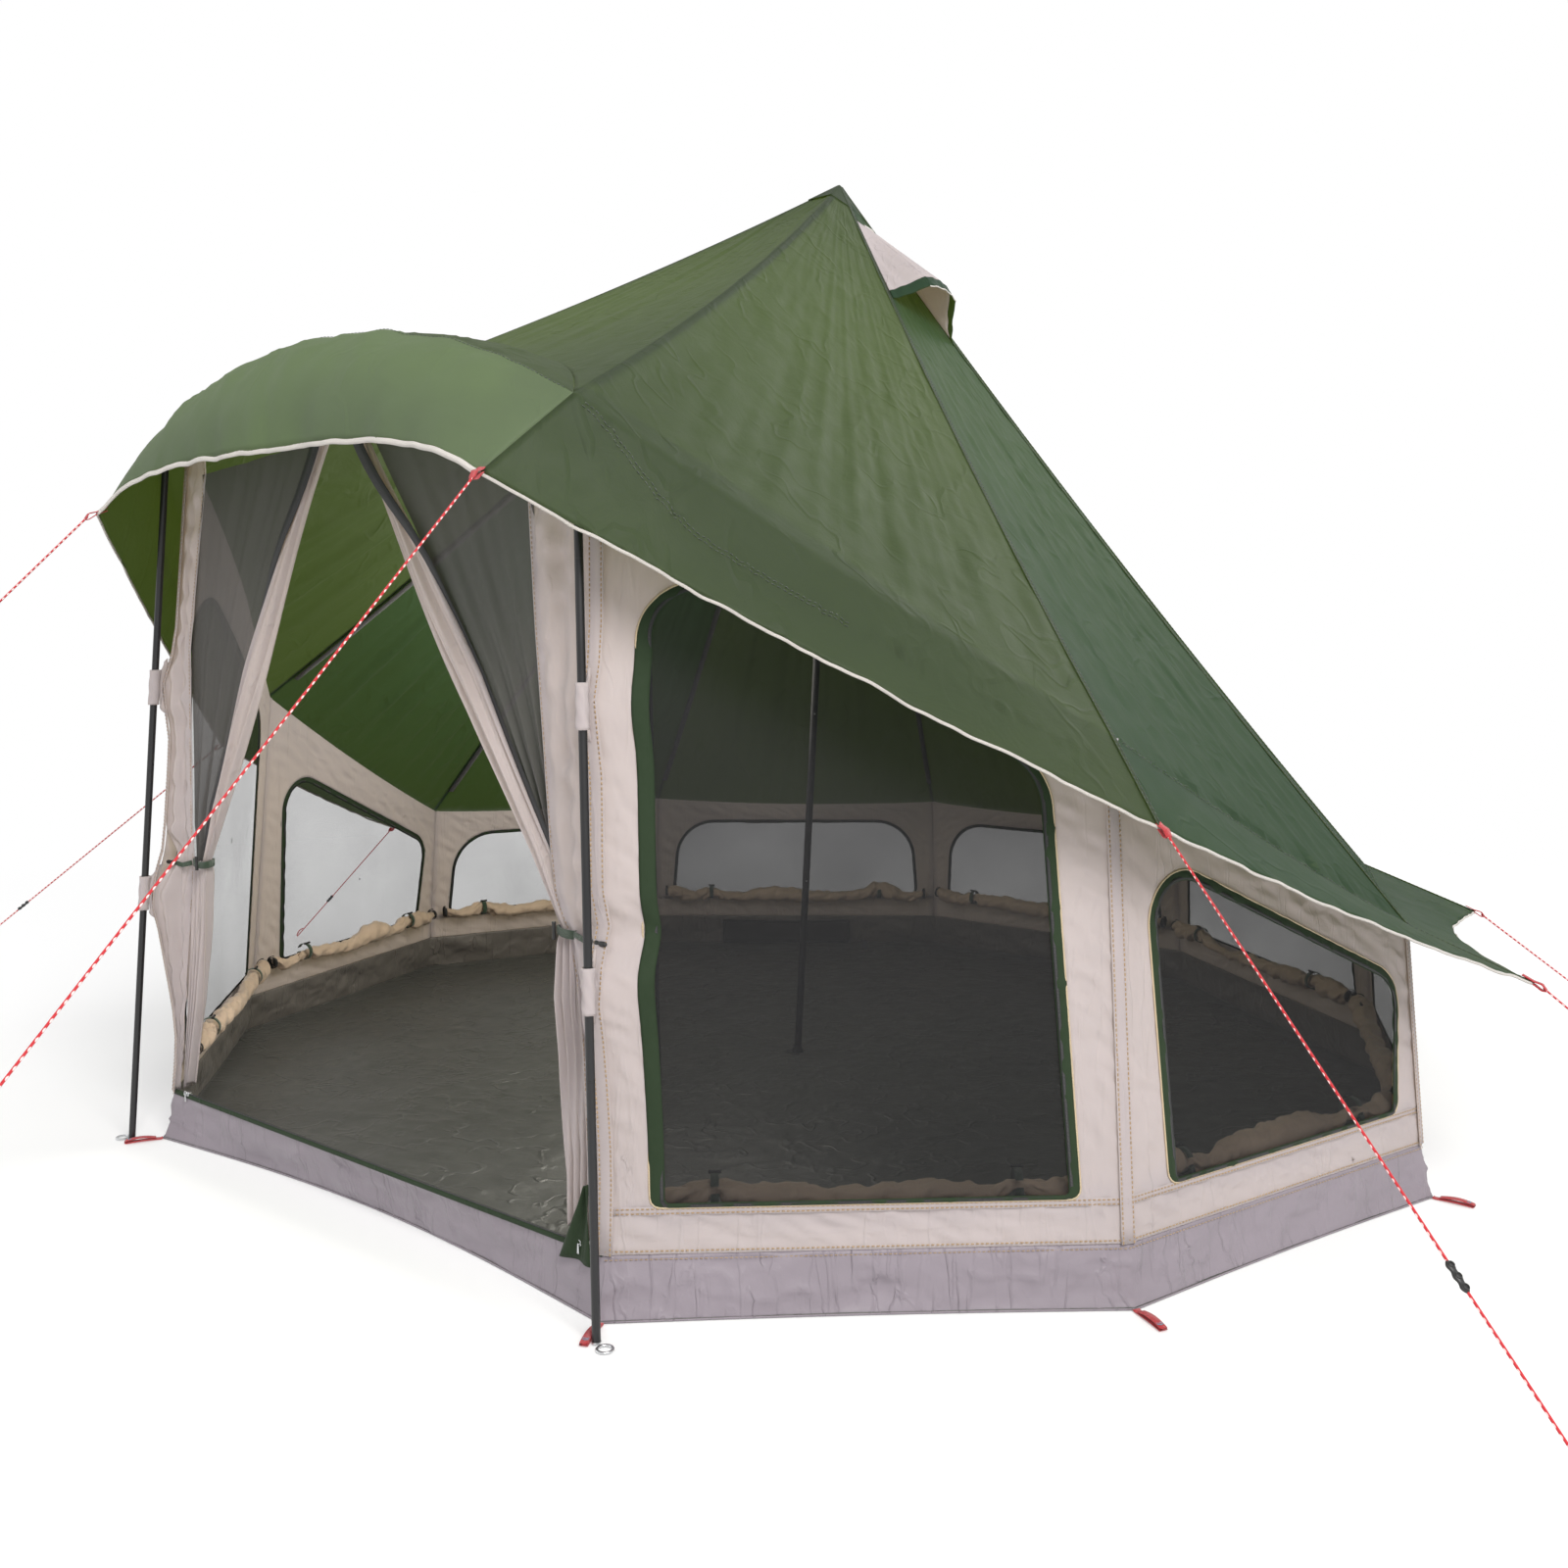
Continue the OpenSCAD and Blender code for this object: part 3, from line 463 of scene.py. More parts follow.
GREEN = (0.057, 0.079, 0.045)
M = {
    "roof": fabric("roof_cloth", GREEN, rough=0.52, sheen=0.05, crease=0.0042, crease_scale=7.0, fine=26.0,
                   glow=0.50, glow_color=(0.36, 0.45, 0.13), variation=0.05, specular=0.25, fold_scale=6.0,
                   fold_depth=0.0026),
    # Copy of the roof cloth, darker and bluer, for sectors 1, 2, 6 and 7 and their vents: painted teal sheen
    "roof_painted_sheen": fabric("roof_cloth_painted_sheen", (0.034, 0.070, 0.043), rough=0.55, sheen=0.05, crease=0.0036,
                        crease_scale=5.0, fine=26.0, glow=0.45, glow_color=(0.34, 0.42, 0.13),
                        variation=0.05, specular=0.16, fold_scale=5.0, fold_depth=0.0026),
    # Lighter copy of the roof cloth for the porch crown and visor: painted light on the top that faces the
    # lamps
    "canopy": fabric("canopy_cloth", (0.168, 0.215, 0.132), rough=0.55, sheen=0.05, crease=0.002,
                     crease_scale=6.0, fine=30.0, glow=0.50, glow_color=(0.34, 0.46, 0.14), variation=0.05,
                     specular=0.2, fold_scale=6.0, fold_depth=0.0012),
    "cream": fabric("cream_cloth", (0.580, 0.526, 0.548), rough=0.70, sheen=0.10, crease=0.0014,
                    crease_scale=12.0, fine=38.0, glow=0.36, glow_color=(0.84, 0.74, 0.56), variation=0.035,
                    specular=0.2, fold_scale=14.0, fold_depth=0.0016),
    "cream_trim": webbing("cream_binding", (0.70, 0.655, 0.60)),
    "lilac": fabric("tub_sheet", (0.255, 0.222, 0.252), rough=0.5, sheen=0.08, crease=0.003,
                    crease_scale=7.0, fine=40.0, inner=(0.150, 0.136, 0.124), variation=0.05, specular=0.4,
                    fold_scale=15.0, fold_depth=0.0030),
    "floor": fabric("floor_sheet", (0.064, 0.064, 0.060), rough=0.42, sheen=0.1, crease=0.0035,
                    crease_scale=5.0, fine=22.0, variation=0.12, specular=0.5, fold_scale=7.0,
                    fold_depth=0.0030),
    "green_trim": fabric("green_band", (0.024, 0.040, 0.020), rough=0.75, sheen=0.06, specular=0.15,
                         crease=0.0015, crease_scale=22.0, fine=90.0),
    "green_web": webbing("green_webbing", (0.030, 0.062, 0.030)),
    "tan_roll": fabric("flap_cloth", (0.62, 0.47, 0.35), rough=0.75, sheen=0.3, crease=0.003,
                       crease_scale=26.0, fine=90.0, glow=0.1, glow_color=(0.6, 0.42, 0.25), variation=0.16),
    # The window net covers more from outside: painted shade over the dim inside.
    "net": netting("window_net", (0.020, 0.020, 0.021), cover=0.48, outside_shade_cover=0.80),
    "door_net": netting("door_net", (0.105, 0.100, 0.096), cover=0.91),
    "pocket_net": netting("pocket_net", (0.040, 0.038, 0.036), cover=0.85),
    "stitch": webbing("tan_thread", (0.55, 0.36, 0.18), rib=0.0008),
    "dark_stitch": webbing("green_thread", (0.065, 0.092, 0.048), rib=0.0008),
    "red_web": webbing("red_webbing", (0.60, 0.012, 0.020), edge=(0.35, 0.0, 0.01)),
    "tack": webbing("bar_tack_thread", (0.12, 0.42, 0.58), rib=0.0010),
    "cord": cord("guy_cord", (0.50, 0.004, 0.012), (0.92, 0.66, 0.64), pitch=0.034),
    "black_tape": webbing("black_tape", (0.016, 0.016, 0.018)),
    "zip": zip_tape("black_zip", (0.018, 0.018, 0.019), (0.05, 0.05, 0.052)),
    "tan_zip": zip_tape("tan_zip", (0.58, 0.46, 0.30), (0.62, 0.52, 0.36)),
    "black_steel": steel("black_coated_steel", (0.009, 0.009, 0.010), rough=0.38, wear=0.2),
    "bright_steel": steel("plated_steel", (0.58, 0.59, 0.60), metal=1.0, rough=0.28, wear=0.2),
    "black_plastic": plastic("black_plastic", (0.018, 0.018, 0.018)),
}

# ---- Mesh builders --------------------------------------------------------------------------------


def piece(name, verts, faces, material, replaces=(), body=TENT, uv=None, smooth_shade=True):
    """Makes a mesh object that rides on a body; uv holds one pair for each corner of each face."""
    mesh = bpy.data.meshes.new(name)
    mesh.from_pydata([tuple(map(float, v)) for v in verts], [], faces)
    if uv is not None:
        layer = mesh.uv_layers.new(name="UVMap")
        layer.data.foreach_set("uv", np.asarray(uv, np.float32).ravel())
    mesh.polygons.foreach_set("use_smooth", [smooth_shade] * len(mesh.polygons))
    mesh.materials.append(M[material])
    mesh.update()
    obj = bpy.data.objects.new(name, mesh)
    bpy.context.scene.collection.objects.link(obj)
    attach(obj, body)
    if replaces:
        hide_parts(*replaces)
    return obj


def grid_parts(rows, cols, wrap=False, start=0):
    """Quads of a grid, row by row; wrap joins the last column to the first."""
    quads = []
    for r in range(rows - 1):
        for c in range(cols if wrap else cols - 1):
            d = (c + 1) % cols
            a = start + r * cols
            b = a + cols
            quads.append((a + c, b + c, b + d, a + d))
    return quads


def grid_uv(points, wrap):
    """UV coordinates in metres, from the lengths along the rows and the columns of a grid."""
    rows, cols = points.shape[:2]
    ring = np.concatenate([points, points[:, :1]], 1) if wrap else points
    across = np.linalg.norm(np.diff(ring, axis=1), axis=2)
    down = np.linalg.norm(np.diff(points, axis=0), axis=2)
    u = np.concatenate([np.zeros((rows, 1)), np.cumsum(across, 1)], 1)
    v = np.concatenate([np.zeros((1, cols)), np.cumsum(down, 0)], 0)
    v = np.concatenate([v, v[:, :1]], 1) if wrap else v
    out = []
    for r in range(rows - 1):
        for c in range(cols if wrap else cols - 1):
            for rr, cc in ((r, c), (r + 1, c), (r + 1, c + 1), (r, c + 1)):
                out.append((u[rr, cc], v[rr, cc]))
    return out


def grid_normals(points, wrap=False):
    if wrap:
        across = np.roll(points, -1, 1) - np.roll(points, 1, 1)
    else:
        across = np.gradient(points, axis=1)
    down = np.gradient(points, axis=0)
    normal = np.cross(down, across)
    return normal / np.maximum(np.linalg.norm(normal, axis=2, keepdims=True), 1e-12)


def wrapped_uv(uv):
    """UV pairs for the faces of a wrapped grid, from one pair for each of its points."""
    ring = np.concatenate([uv, uv[:, :1]], 1)
    return [ring[r + x, c + y] for r in range(uv.shape[0] - 1) for c in range(uv.shape[1])
            for x, y in ((0, 0), (1, 0), (1, 1), (0, 1))]


def thicken(obj, thickness):
    solid = obj.modifiers.new("thickness", "SOLIDIFY")
    solid.thickness = thickness
    solid.offset = -1


def close_rings(obj, cols, first=False, last=False):
    """Fills the first or last ring of a wrapped grid, or both, with one face each."""
    work = bmesh.new()
    work.from_mesh(obj.data)
    verts = list(work.verts)
    if first:
        work.faces.new(verts[:cols])
    if last:
        work.faces.new(verts[-cols:][::-1])
    work.to_mesh(obj.data)
    work.free()


def sheet(name, points, material, thickness=0.0012, replaces=(), body=TENT, wrap=False, uv=None,
          keep=None):
    """A closed thin cloth over a grid of points; its outside is where down x across points."""
    points = np.asarray(points, float)
    rows, cols = points.shape[:2]
    faces = grid_parts(rows, cols, wrap)
    uvs = np.asarray(grid_uv(points, wrap) if uv is None else uv).reshape(len(faces), 4, 2)
    if keep is not None:
        flags = [keep(points.reshape(-1, 3)[list(f)].mean(0)) for f in faces]
        faces = [f for f, flag in zip(faces, flags) if flag]
        uvs = uvs[np.array(flags)]
    obj = piece(name, points.reshape(-1, 3), faces, material, replaces, body, uvs)
    if thickness:
        thicken(obj, thickness)
    return obj


def resample(path, step):
    """Points along a polyline, one about each step metres."""
    path = np.asarray(path, float)
    length = np.concatenate([[0], np.cumsum(np.linalg.norm(np.diff(path, axis=0), axis=1))])
    count = max(2, int(round(length[-1] / step)) + 1)
    at = np.linspace(0, length[-1], count)
    return np.stack([np.interp(at, length, path[:, k]) for k in range(3)], 1)


def path_frames(path, facing):
    """Tangent, side and facing vectors at each point of a path; facing is a vector or one per point."""
    path = np.asarray(path, float)
    tangent = np.gradient(path, axis=0)
    tangent /= np.maximum(np.linalg.norm(tangent, axis=1, keepdims=True), 1e-12)
    facing = np.broadcast_to(np.asarray(facing, float), path.shape)
    side = np.cross(tangent, facing)
    side /= np.maximum(np.linalg.norm(side, axis=1, keepdims=True), 1e-12)
    return tangent, side, np.cross(side, tangent)


def round_profile(radius, sides=10):
    turn = np.arange(sides) * 2 * math.pi / sides
    return radius * np.stack([np.cos(turn), np.sin(turn)], 1)


def flat_profile(width, thick):
    """Tape section with softly rounded edges: width along the side, thickness along facing."""
    w, t = width / 2, thick / 2
    return np.array([(-w, -t * 0.4), (-w * 0.96, -t), (w * 0.96, -t), (w, -t * 0.4),
                     (w, t * 0.4), (w * 0.96, t), (-w * 0.96, t), (-w, t * 0.4)])


def sweep(name, paths, profile, material, facing=(0, 0, 1), replaces=(), body=TENT, scale=None):
    """One mesh of closed sweeps of a profile along paths; facing may be one vector for each path."""
    verts, faces, uvs = [], [], []
    count = len(profile)
    turn = np.linspace(0, 1, count + 1)
    for index, path in enumerate(paths):
        path = np.asarray(path, float)
        toward = facing[index] if isinstance(facing, list) else facing
        _, side, front = path_frames(path, toward)
        size = np.ones(len(path)) if scale is None else scale(np.linspace(0, 1, len(path)))
        start = len(verts)
        run = np.concatenate([[0], np.cumsum(np.linalg.norm(np.diff(path, axis=0), axis=1))])
        for k in range(len(path)):
            for x, y in profile:
                verts.append(path[k] + size[k] * (side[k] * x + front[k] * y))
        for k in range(len(path) - 1):
            a, b = start + k * count, start + (k + 1) * count
            for j in range(count):
                m = (j + 1) % count
                faces.append((a + j, a + m, b + m, b + j))
                uvs += [(run[k], turn[j]), (run[k], turn[j + 1]),
                        (run[k + 1], turn[j + 1]), (run[k + 1], turn[j])]
        last = start + (len(path) - 1) * count
        faces.append(tuple(range(start, start + count))[::-1])
        faces.append(tuple(range(last, last + count)))
        uvs += [(0, 0)] * (2 * count)
    return piece(name, verts, faces, material, replaces, body, uvs)


def stitches(name, rows, material="stitch", pitch=0.011, share=0.62, wide=0.0016,
             high=0.0011, body=TENT):
    """Raised thread dashes: rows is a list of (path, outward) pairs."""
    paths, facing = [], []
    for path, outward in rows:
        dots = resample(path, pitch)
        out = np.broadcast_to(np.asarray(outward, float), (len(dots), 3)) if np.ndim(outward) == 1 else \
            np.stack([np.interp(np.linspace(0, 1, len(dots)), np.linspace(0, 1, len(outward)),
                                np.asarray(outward)[:, k]) for k in range(3)], 1)
        for k in range(len(dots) - 1):
            lift = unit(out[k]) * high * 0.5
            end = lerp(dots[k], dots[k + 1], share)
            middle = lerp(dots[k], end, 0.5) + lift
            paths.append([dots[k], middle, end])
            facing.append(out[k])
    return sweep(name, paths, flat_profile(wide, high), material, facing, body=body)


# ---- Walls ----------------------------------------------------------------------------------------


def wall_type(i):
    return i if i <= 4 else 8 - i


def window_corners(kind, w):
    """Corners of the window in a wall w wide, anticlockwise from the lower start, and their radii."""
    if kind == 0:
        points = [(0.105, SILL_H), (w - 0.113, SILL_H), (w - 0.178, 1.200), (0.118, 1.705)]
        return points, [0.02, 0.02, 0.17, 0.13]
    if kind == 1:
        points = [(0.145, SILL_H), (w - 0.108, SILL_H), (w - 0.076, 0.600), (0.115, 1.020)]
        return points, [0.03, 0.03, 0.12, 0.12]
    low = SILL_H + 0.005
    points = [(0.085, low), (w - 0.085, low), (w - 0.118, 0.615), (0.118, 0.615)]
    return points, [0.03, 0.03, 0.19, 0.19]


def inset_corners(points, inset):
    """Corners of a convex anticlockwise polygon with each side moved inwards by its own inset."""
    points = np.asarray(points, float)
    normals = []
    for k in range(len(points)):
        run = unit(points[(k + 1) % len(points)] - points[k])
        normals.append(np.array([-run[1], run[0]]))
    moved = []
    for k, corner_point in enumerate(points):
        pair = np.array([normals[k - 1], normals[k]])
        moved.append(np.linalg.solve(pair, pair @ corner_point + [inset[k - 1], inset[k]]))
    return np.array(moved)


def rounded(points, radii, steps=14):
    out = []
    n = len(points)
    for k in range(n):
        p = points[k]
        r = radii[k]
        u, v = unit(points[k - 1] - p), unit(points[(k + 1) % n] - p)
        half = math.acos(np.clip(np.dot(u, v), -1, 1)) / 2
        centre = p + unit(u + v) * r / math.sin(half)
        first = p + u * r / math.tan(half)
        start = math.atan2(*(first - centre)[::-1])
        turn = math.pi - 2 * half
        for s in range(steps + 1):
            a = start + turn * s / steps
            out.append(centre + r * np.array([math.cos(a), math.sin(a)]))
    return np.array(out)


def window_outline(i, inset=0.0, band=0.0):
    """Rounded outline of the window of wall i, anticlockwise from outside; band 1 is its inner edge."""
    length = wall_frame(i)[5]
    kind = wall_type(i)
    points, radii = window_corners(kind, length)
    sides = BAND_SIDES.get(kind, BAND_LOW)
    if i > 4:
        points = [(length - x, y) for x, y in points][::-1]
        radii = radii[::-1]
        sides = (sides[2], sides[1], sides[0], sides[3])
    sides = [inset + band * width for width in sides]
    return rounded(inset_corners(points, sides), [max(r - max(sides), 0.012) for r in radii])


def rays(polygon, centre, angles):
    """Where rays from centre at the given angles leave a polygon."""
    d = np.stack([np.cos(angles), np.sin(angles)], 1)
    p = np.asarray(polygon, float) - centre
    best = np.full(len(angles), np.inf)
    for a, b in zip(p, np.roll(p, -1, 0)):
        s = b - a
        den = d[:, 0] * s[1] - d[:, 1] * s[0]
        den = np.where(np.abs(den) < 1e-12, 1e-12, den)
        t = (a[0] * s[1] - a[1] * s[0]) / den
        k = (a[0] * d[:, 1] - a[1] * d[:, 0]) / den
        good = (t > 0) & (k >= -1e-9) & (k <= 1 + 1e-9) & (t < best)
        best = np.where(good, t, best)
    return centre + d * best[:, None]


def sorted_angles(centre, count, *polygons):
    angles = [np.linspace(-math.pi, math.pi, count, endpoint=False)]
    for polygon in polygons:
        offset = np.asarray(polygon) - centre
        angles.append(np.arctan2(offset[:, 1], offset[:, 0]))
    angles = np.sort(np.concatenate(angles))
    return angles[np.concatenate([[True], np.diff(angles) > 1e-4])]


def top_gap(k):
    """Height from the frame's wall top up to the underside of the roof at corner k."""
    return 0.006 if k == 0 else 0.020


def wall_outline(i):
    """Outline of the cloth of wall i: bathtub seam, corner seams, and the sagging line under the roof."""
    low = 4
    top = 16
    bottom = [lerp(wall_uv(i, 0, TUB_H), wall_uv(i, 1, TUB_H), k / low) for k in range(low)]
    start_top = wall_uv(i, 0, WALL_TOP[twin(i)] + top_gap(twin(i)))
    end_top = wall_uv(i, 1, WALL_TOP[twin(nxt(i))] + top_gap(twin(nxt(i))))
    line = [lerp(end_top, start_top, k / top) - np.array([0, PANEL_SAG * 4 * (k / top) * (1 - k / top)])
            for k in range(top + 1)]
    return np.array(bottom + [wall_uv(i, 1, TUB_H)] + line)


WALL_NODE = {0: "front_walls", 1: "side_walls", 2: "low_walls", 3: "low_walls", 4: "low_walls"}


def build_wall(i):
    outer = wall_outline(i)
    inner = window_outline(i)
    centre = inner.mean(0)
    angles = sorted_angles(centre, 300, outer)
    a, b = rays(inner, centre, angles), rays(outer, centre, angles)
    rows = 26
    share = np.linspace(0, 1, rows)[:, None, None]
    uv = lerp(b[None], a[None], share)
    length = wall_frame(i)[5]
    lean = 58 if i < 5 else -58
    pull = ripples(40 + i, 0.028, 0.080, lean, 0.25)
    taut = creases(50 + i, 0.035, 0.16, lean, 0.35)
    crumple = creases(60 + i, 0.05, 0.25, None)
    fade = np.sin(np.pi * np.linspace(0, 1, rows))[:, None] ** 0.6
    out = fade * (0.0016 * pull(uv[..., 0], uv[..., 1]) + 0.0034 * taut(uv[..., 0], uv[..., 1])
                  + 0.0018 * crumple(uv[..., 0], uv[..., 1]))
    out = out - 0.006 * np.sin(np.pi * np.clip(uv[..., 0] / length, 0, 1)) * fade
    points = wall_point(i, uv, out)
    sheet(f"wall_{i}", points, "cream",
          replaces=(WALL_NODE[wall_type(i)],), wrap=True, uv=wrapped_uv(uv))


def outline_path(i, inset, out, band=0.0):
    ring = window_outline(i, inset, band)
    ring = np.concatenate([ring, ring[:2]])
    return resample(wall_point(i, ring, np.full(len(ring), out)), 0.012)


def build_window(i):
    normal = wall_frame(i)[3]
    outer, inner = window_outline(i, -0.004), window_outline(i, 0, 1)
    centre = inner.mean(0)
    angles = sorted_angles(centre, 220, outer, inner)
    a, b = rays(inner, centre, angles), rays(outer, centre, angles)
    rows = 7
    share = np.linspace(0, 1, rows)
    uv = lerp(b[None], a[None], share[:, None, None])
    pucker = ripples(80 + i, 0.03, 0.09, None)
    out = 0.0016 + 0.0022 * np.sin(np.pi * share)[:, None] + 0.0008 * pucker(uv[..., 0], uv[..., 1])
    sheet(f"window_band_{i}", wall_point(i, uv, out), "green_trim",
          replaces=("window_surrounds",), wrap=True)
    rows = 16
    share = np.linspace(0, 1, rows)
    rim = rays(window_outline(i, -0.004, 1), centre, angles)
    uv = lerp(rim[None], centre[None, None], share[:, None, None] * 0.985)
    wave = ripples(100 + i, 0.12, 0.5, None)
    out = -0.0015 - 0.004 * np.sin(np.pi / 2 * share)[:, None] ** 2 + 0.0012 * share[:, None] * wave(
        uv[..., 0], uv[..., 1])
    net = sheet(f"window_net_{i}", wall_point(i, uv, out), "net", thickness=0,
                replaces=("window_meshes",), wrap=True, uv=wrapped_uv(uv))
    close_rings(net, uv.shape[1], last=True)
    sweep(f"window_piping_{i}", [outline_path(i, -0.003, 0.003)], round_profile(0.0022, 8), "tan_zip",
          normal)
    sweep(f"window_zip_{i}", [outline_path(i, -0.006, 0.004, 1)], flat_profile(0.008, 0.002), "zip",
          normal)


def corner_normal(i):
    return unit(wall_frame(i)[3] + wall_frame((i - 1) % CORNERS)[3])


def level_line(i, h, lift):
    """Line across wall i at height h, lift in front of it."""
    steps = 30
    ends = np.array([lerp(wall_uv(i, 0, h), wall_uv(i, 1, h), k / steps) for k in range(steps + 1)])
    return wall_point(i, ends, np.full(steps + 1, lift))


def build_wall_seams():
    """Flat seams at the corners and along the sill and bathtub, with their rows of thread."""
    edges, facing, rows = [], [], []
    for i in range(CORNERS):
        top = WALL_TOP[twin(i)] + top_gap(twin(i))
        heights = np.linspace(TUB_H, top, 24)
        out = corner_normal(i)
        path = np.array([pulled_corner(i, h, 0.0022) for h in heights])
        edges.append(path)
        facing.append(out)
        side = unit(np.cross(UP, out))
        for shift in (-0.0135, 0.0135):
            rows.append((path + side * shift + out * 0.0012, out))
    sweep("corner_seams", edges, flat_profile(0.036, 0.0024), "cream", facing)
    tape, tape_facing = [], []
    for i in range(DOOR_WALL):
        out = wall_frame(i)[3]
        for h, lift in ((SILL_H - 0.016, 0.0030), (SILL_H - 0.006, 0.0030), (TUB_H + 0.008, 0.0035)):
            rows.append((level_line(i, h, lift), out))
        tape.append(level_line(i, SILL_H - 0.011, 0.0012))
        tape_facing.append(out)
    sweep("sill_seams", tape, flat_profile(0.020, 0.0022), "cream", tape_facing)
    stitches("wall_stitching", rows, wide=0.0030)


# ---- Rolled flaps and ties ------------------------------------------------------------------------


TIE_PLACES = (0.17, 0.83)       # places of the two ties, as shares of the length of a roll
CLOTH_GROWTH = 0.10             # share by which the simulated cloth grows
ROLL_GAP = 0.011                # between a rolled flap and the plane of its wall
CLOTH_CAP = 0.014               # how far the simulation may move a point


def simulate_cloth(obj, pinned, pressure, frames=14):
    """Inflates and slightly grows a piece with Cloth, holding the pinned points, and keeps the result."""
    mesh = obj.data
    start = np.array([tuple(v.co) for v in mesh.vertices])
    group = obj.vertex_groups.new(name="pins")
    group.add(pinned, 1.0, "REPLACE")
    cloth = obj.modifiers.new("cloth", "CLOTH")
    setting = cloth.settings
    setting.vertex_group_mass = group.name
    setting.use_pressure = True
    setting.uniform_pressure_force = pressure
    setting.shrink_min = -CLOTH_GROWTH
    setting.effector_weights.gravity = 0.15
    setting.bending_stiffness = 0.2
    setting.quality = 5
    cloth.collision_settings.use_collision = False
    cloth.point_cache.frame_start = 1
    cloth.point_cache.frame_end = frames
    scene = bpy.context.scene
    for frame_number in range(1, frames + 1):
        scene.frame_set(frame_number)
    settled = obj.evaluated_get(bpy.context.evaluated_depsgraph_get()).to_mesh()
    end = np.array([tuple(v.co) for v in settled.vertices])
    obj.modifiers.remove(cloth)
    obj.vertex_groups.remove(group)
    scene.frame_set(1)
    step = end - start
    length = np.linalg.norm(step, axis=1, keepdims=True)
    share = np.minimum(1, CLOTH_CAP / np.maximum(length, 1e-9))
    mesh.vertices.foreach_set("co", (start + step * share).ravel())
    mesh.update()


def build_flap(i):
    """Window cover rolled up on its sill: an uneven roll drawn in by two ties, with its zip tape coiled."""
    _, along, up, normal, _, length = wall_frame(i)
    run = length - 2 * ROLL_END
    rows, cols = 140, 28
    x = np.linspace(0, 1, rows)[:, None]
    turn = np.linspace(0, 2 * np.pi, cols, endpoint=False)[None]
    lump = ripples(150 + i, 0.14, 0.6)(x * run, 0 * x)
    twist = ripples(120 + i, 0.03, 0.11, 35, 0.5)
    fold = creases(140 + i, 0.04, 0.16, 60, 0.6)
    radius = ROLL_R * (0.86 + 0.16 * lump) * np.ones_like(turn)
    for tie in TIE_PLACES:
        radius = radius * (1 - 0.30 * np.exp(-(((x - tie) * run) / 0.020) ** 2))
    radius = radius + 0.0028 * twist(x * run, turn * ROLL_R) - 0.005 * fold(x * run, turn * ROLL_R)
    radius = radius * np.minimum(1, 0.62 + 10 * np.minimum(x, 1 - x) * run)
    sag = 0.004 * np.sin(3 * np.pi * x) + 0.003 * np.sin(17 * x + 2 * i)
    centre = wall_point(i, np.concatenate([ROLL_END + x * run, SILL_H + 0.024 + sag + 0.006 * lump], 1),
                        np.full(rows, -ROLL_IN))
    points = centre[:, None] + radius[..., None] * (np.cos(turn)[..., None] * up
                                                    + np.sin(turn)[..., None] * normal * 0.95)
    rings = 7
    caps = []
    for end, base in ((0, points[0]), (1, points[-1])):
        middle = base.mean(0)
        sign = -1 if end == 0 else 1
        ring = []
        for k in range(1, rings + 1):
            share = k / rings
            spiral = 0.0035 * np.sin(turn[0] + share * 5 * np.pi)
            ring.append(lerp(base, middle, share * 0.98) + along * (sign * (0.006 * share + spiral[:, None])))
        caps.append(ring[::-1] if end == 0 else ring)
    points = np.concatenate([caps[0], points, caps[1]], 0)
    obj = sheet(f"rolled_flap_{i}", points[:, ::-1], "tan_roll", thickness=0,
                replaces=("window_flaps",), wrap=True)
    close_rings(obj, cols, first=True, last=True)
    simulate_cloth(obj, pinned_rows(rows, rings, cols, run), 2.5)
    keep_inside(obj, i)
    for number, tie in enumerate(TIE_PLACES):
        build_tie(i, tie, number, run)
    coil_turn = np.linspace(0, 6 * np.pi, 90)
    coil_radius = ROLL_R * lerp(0.72, 0.18, np.linspace(0, 1, 90))
    spoke = np.cos(coil_turn)[:, None] * up + np.sin(coil_turn)[:, None] * normal
    coils = [base + along * sign * 0.010 + coil_radius[:, None] * spoke
             for base, sign in ((centre[0], -1), (centre[-1], 1))]
    sweep(f"flap_zip_coils_{i}", coils, flat_profile(0.010, 0.0022), "zip", [spoke] * 2)


def keep_inside(obj, i):
    """Moves the points of a roll that come too near the plane of wall i back from it."""
    points = np.array([tuple(v.co) for v in obj.data.vertices])
    normal = wall_frame(i)[3]
    over = (points - wall_point(i, [0, 0], -ROLL_GAP)) @ normal
    points -= np.maximum(over, 0)[:, None] * normal
    obj.data.vertices.foreach_set("co", points.ravel())
    obj.data.update()


def pinned_rows(rows, rings, cols, run):
    """Vertices of a roll that its ties and its two ends hold in place."""
    held = []
    for row in range(rows):
        x = row / (rows - 1)
        if min(abs(x - tie) for tie in TIE_PLACES) * run < 0.012:
            held += range((rings + row) * cols, (rings + row + 1) * cols)
    return held + list(range(rings * cols)) + list(range((rings + rows) * cols, (2 * rings + rows) * cols))


def pin_shape(t):
    """Width of a small toggle along its length, waisted in the middle."""
    return 0.7 + 0.3 * np.abs(np.cos(np.pi * t))


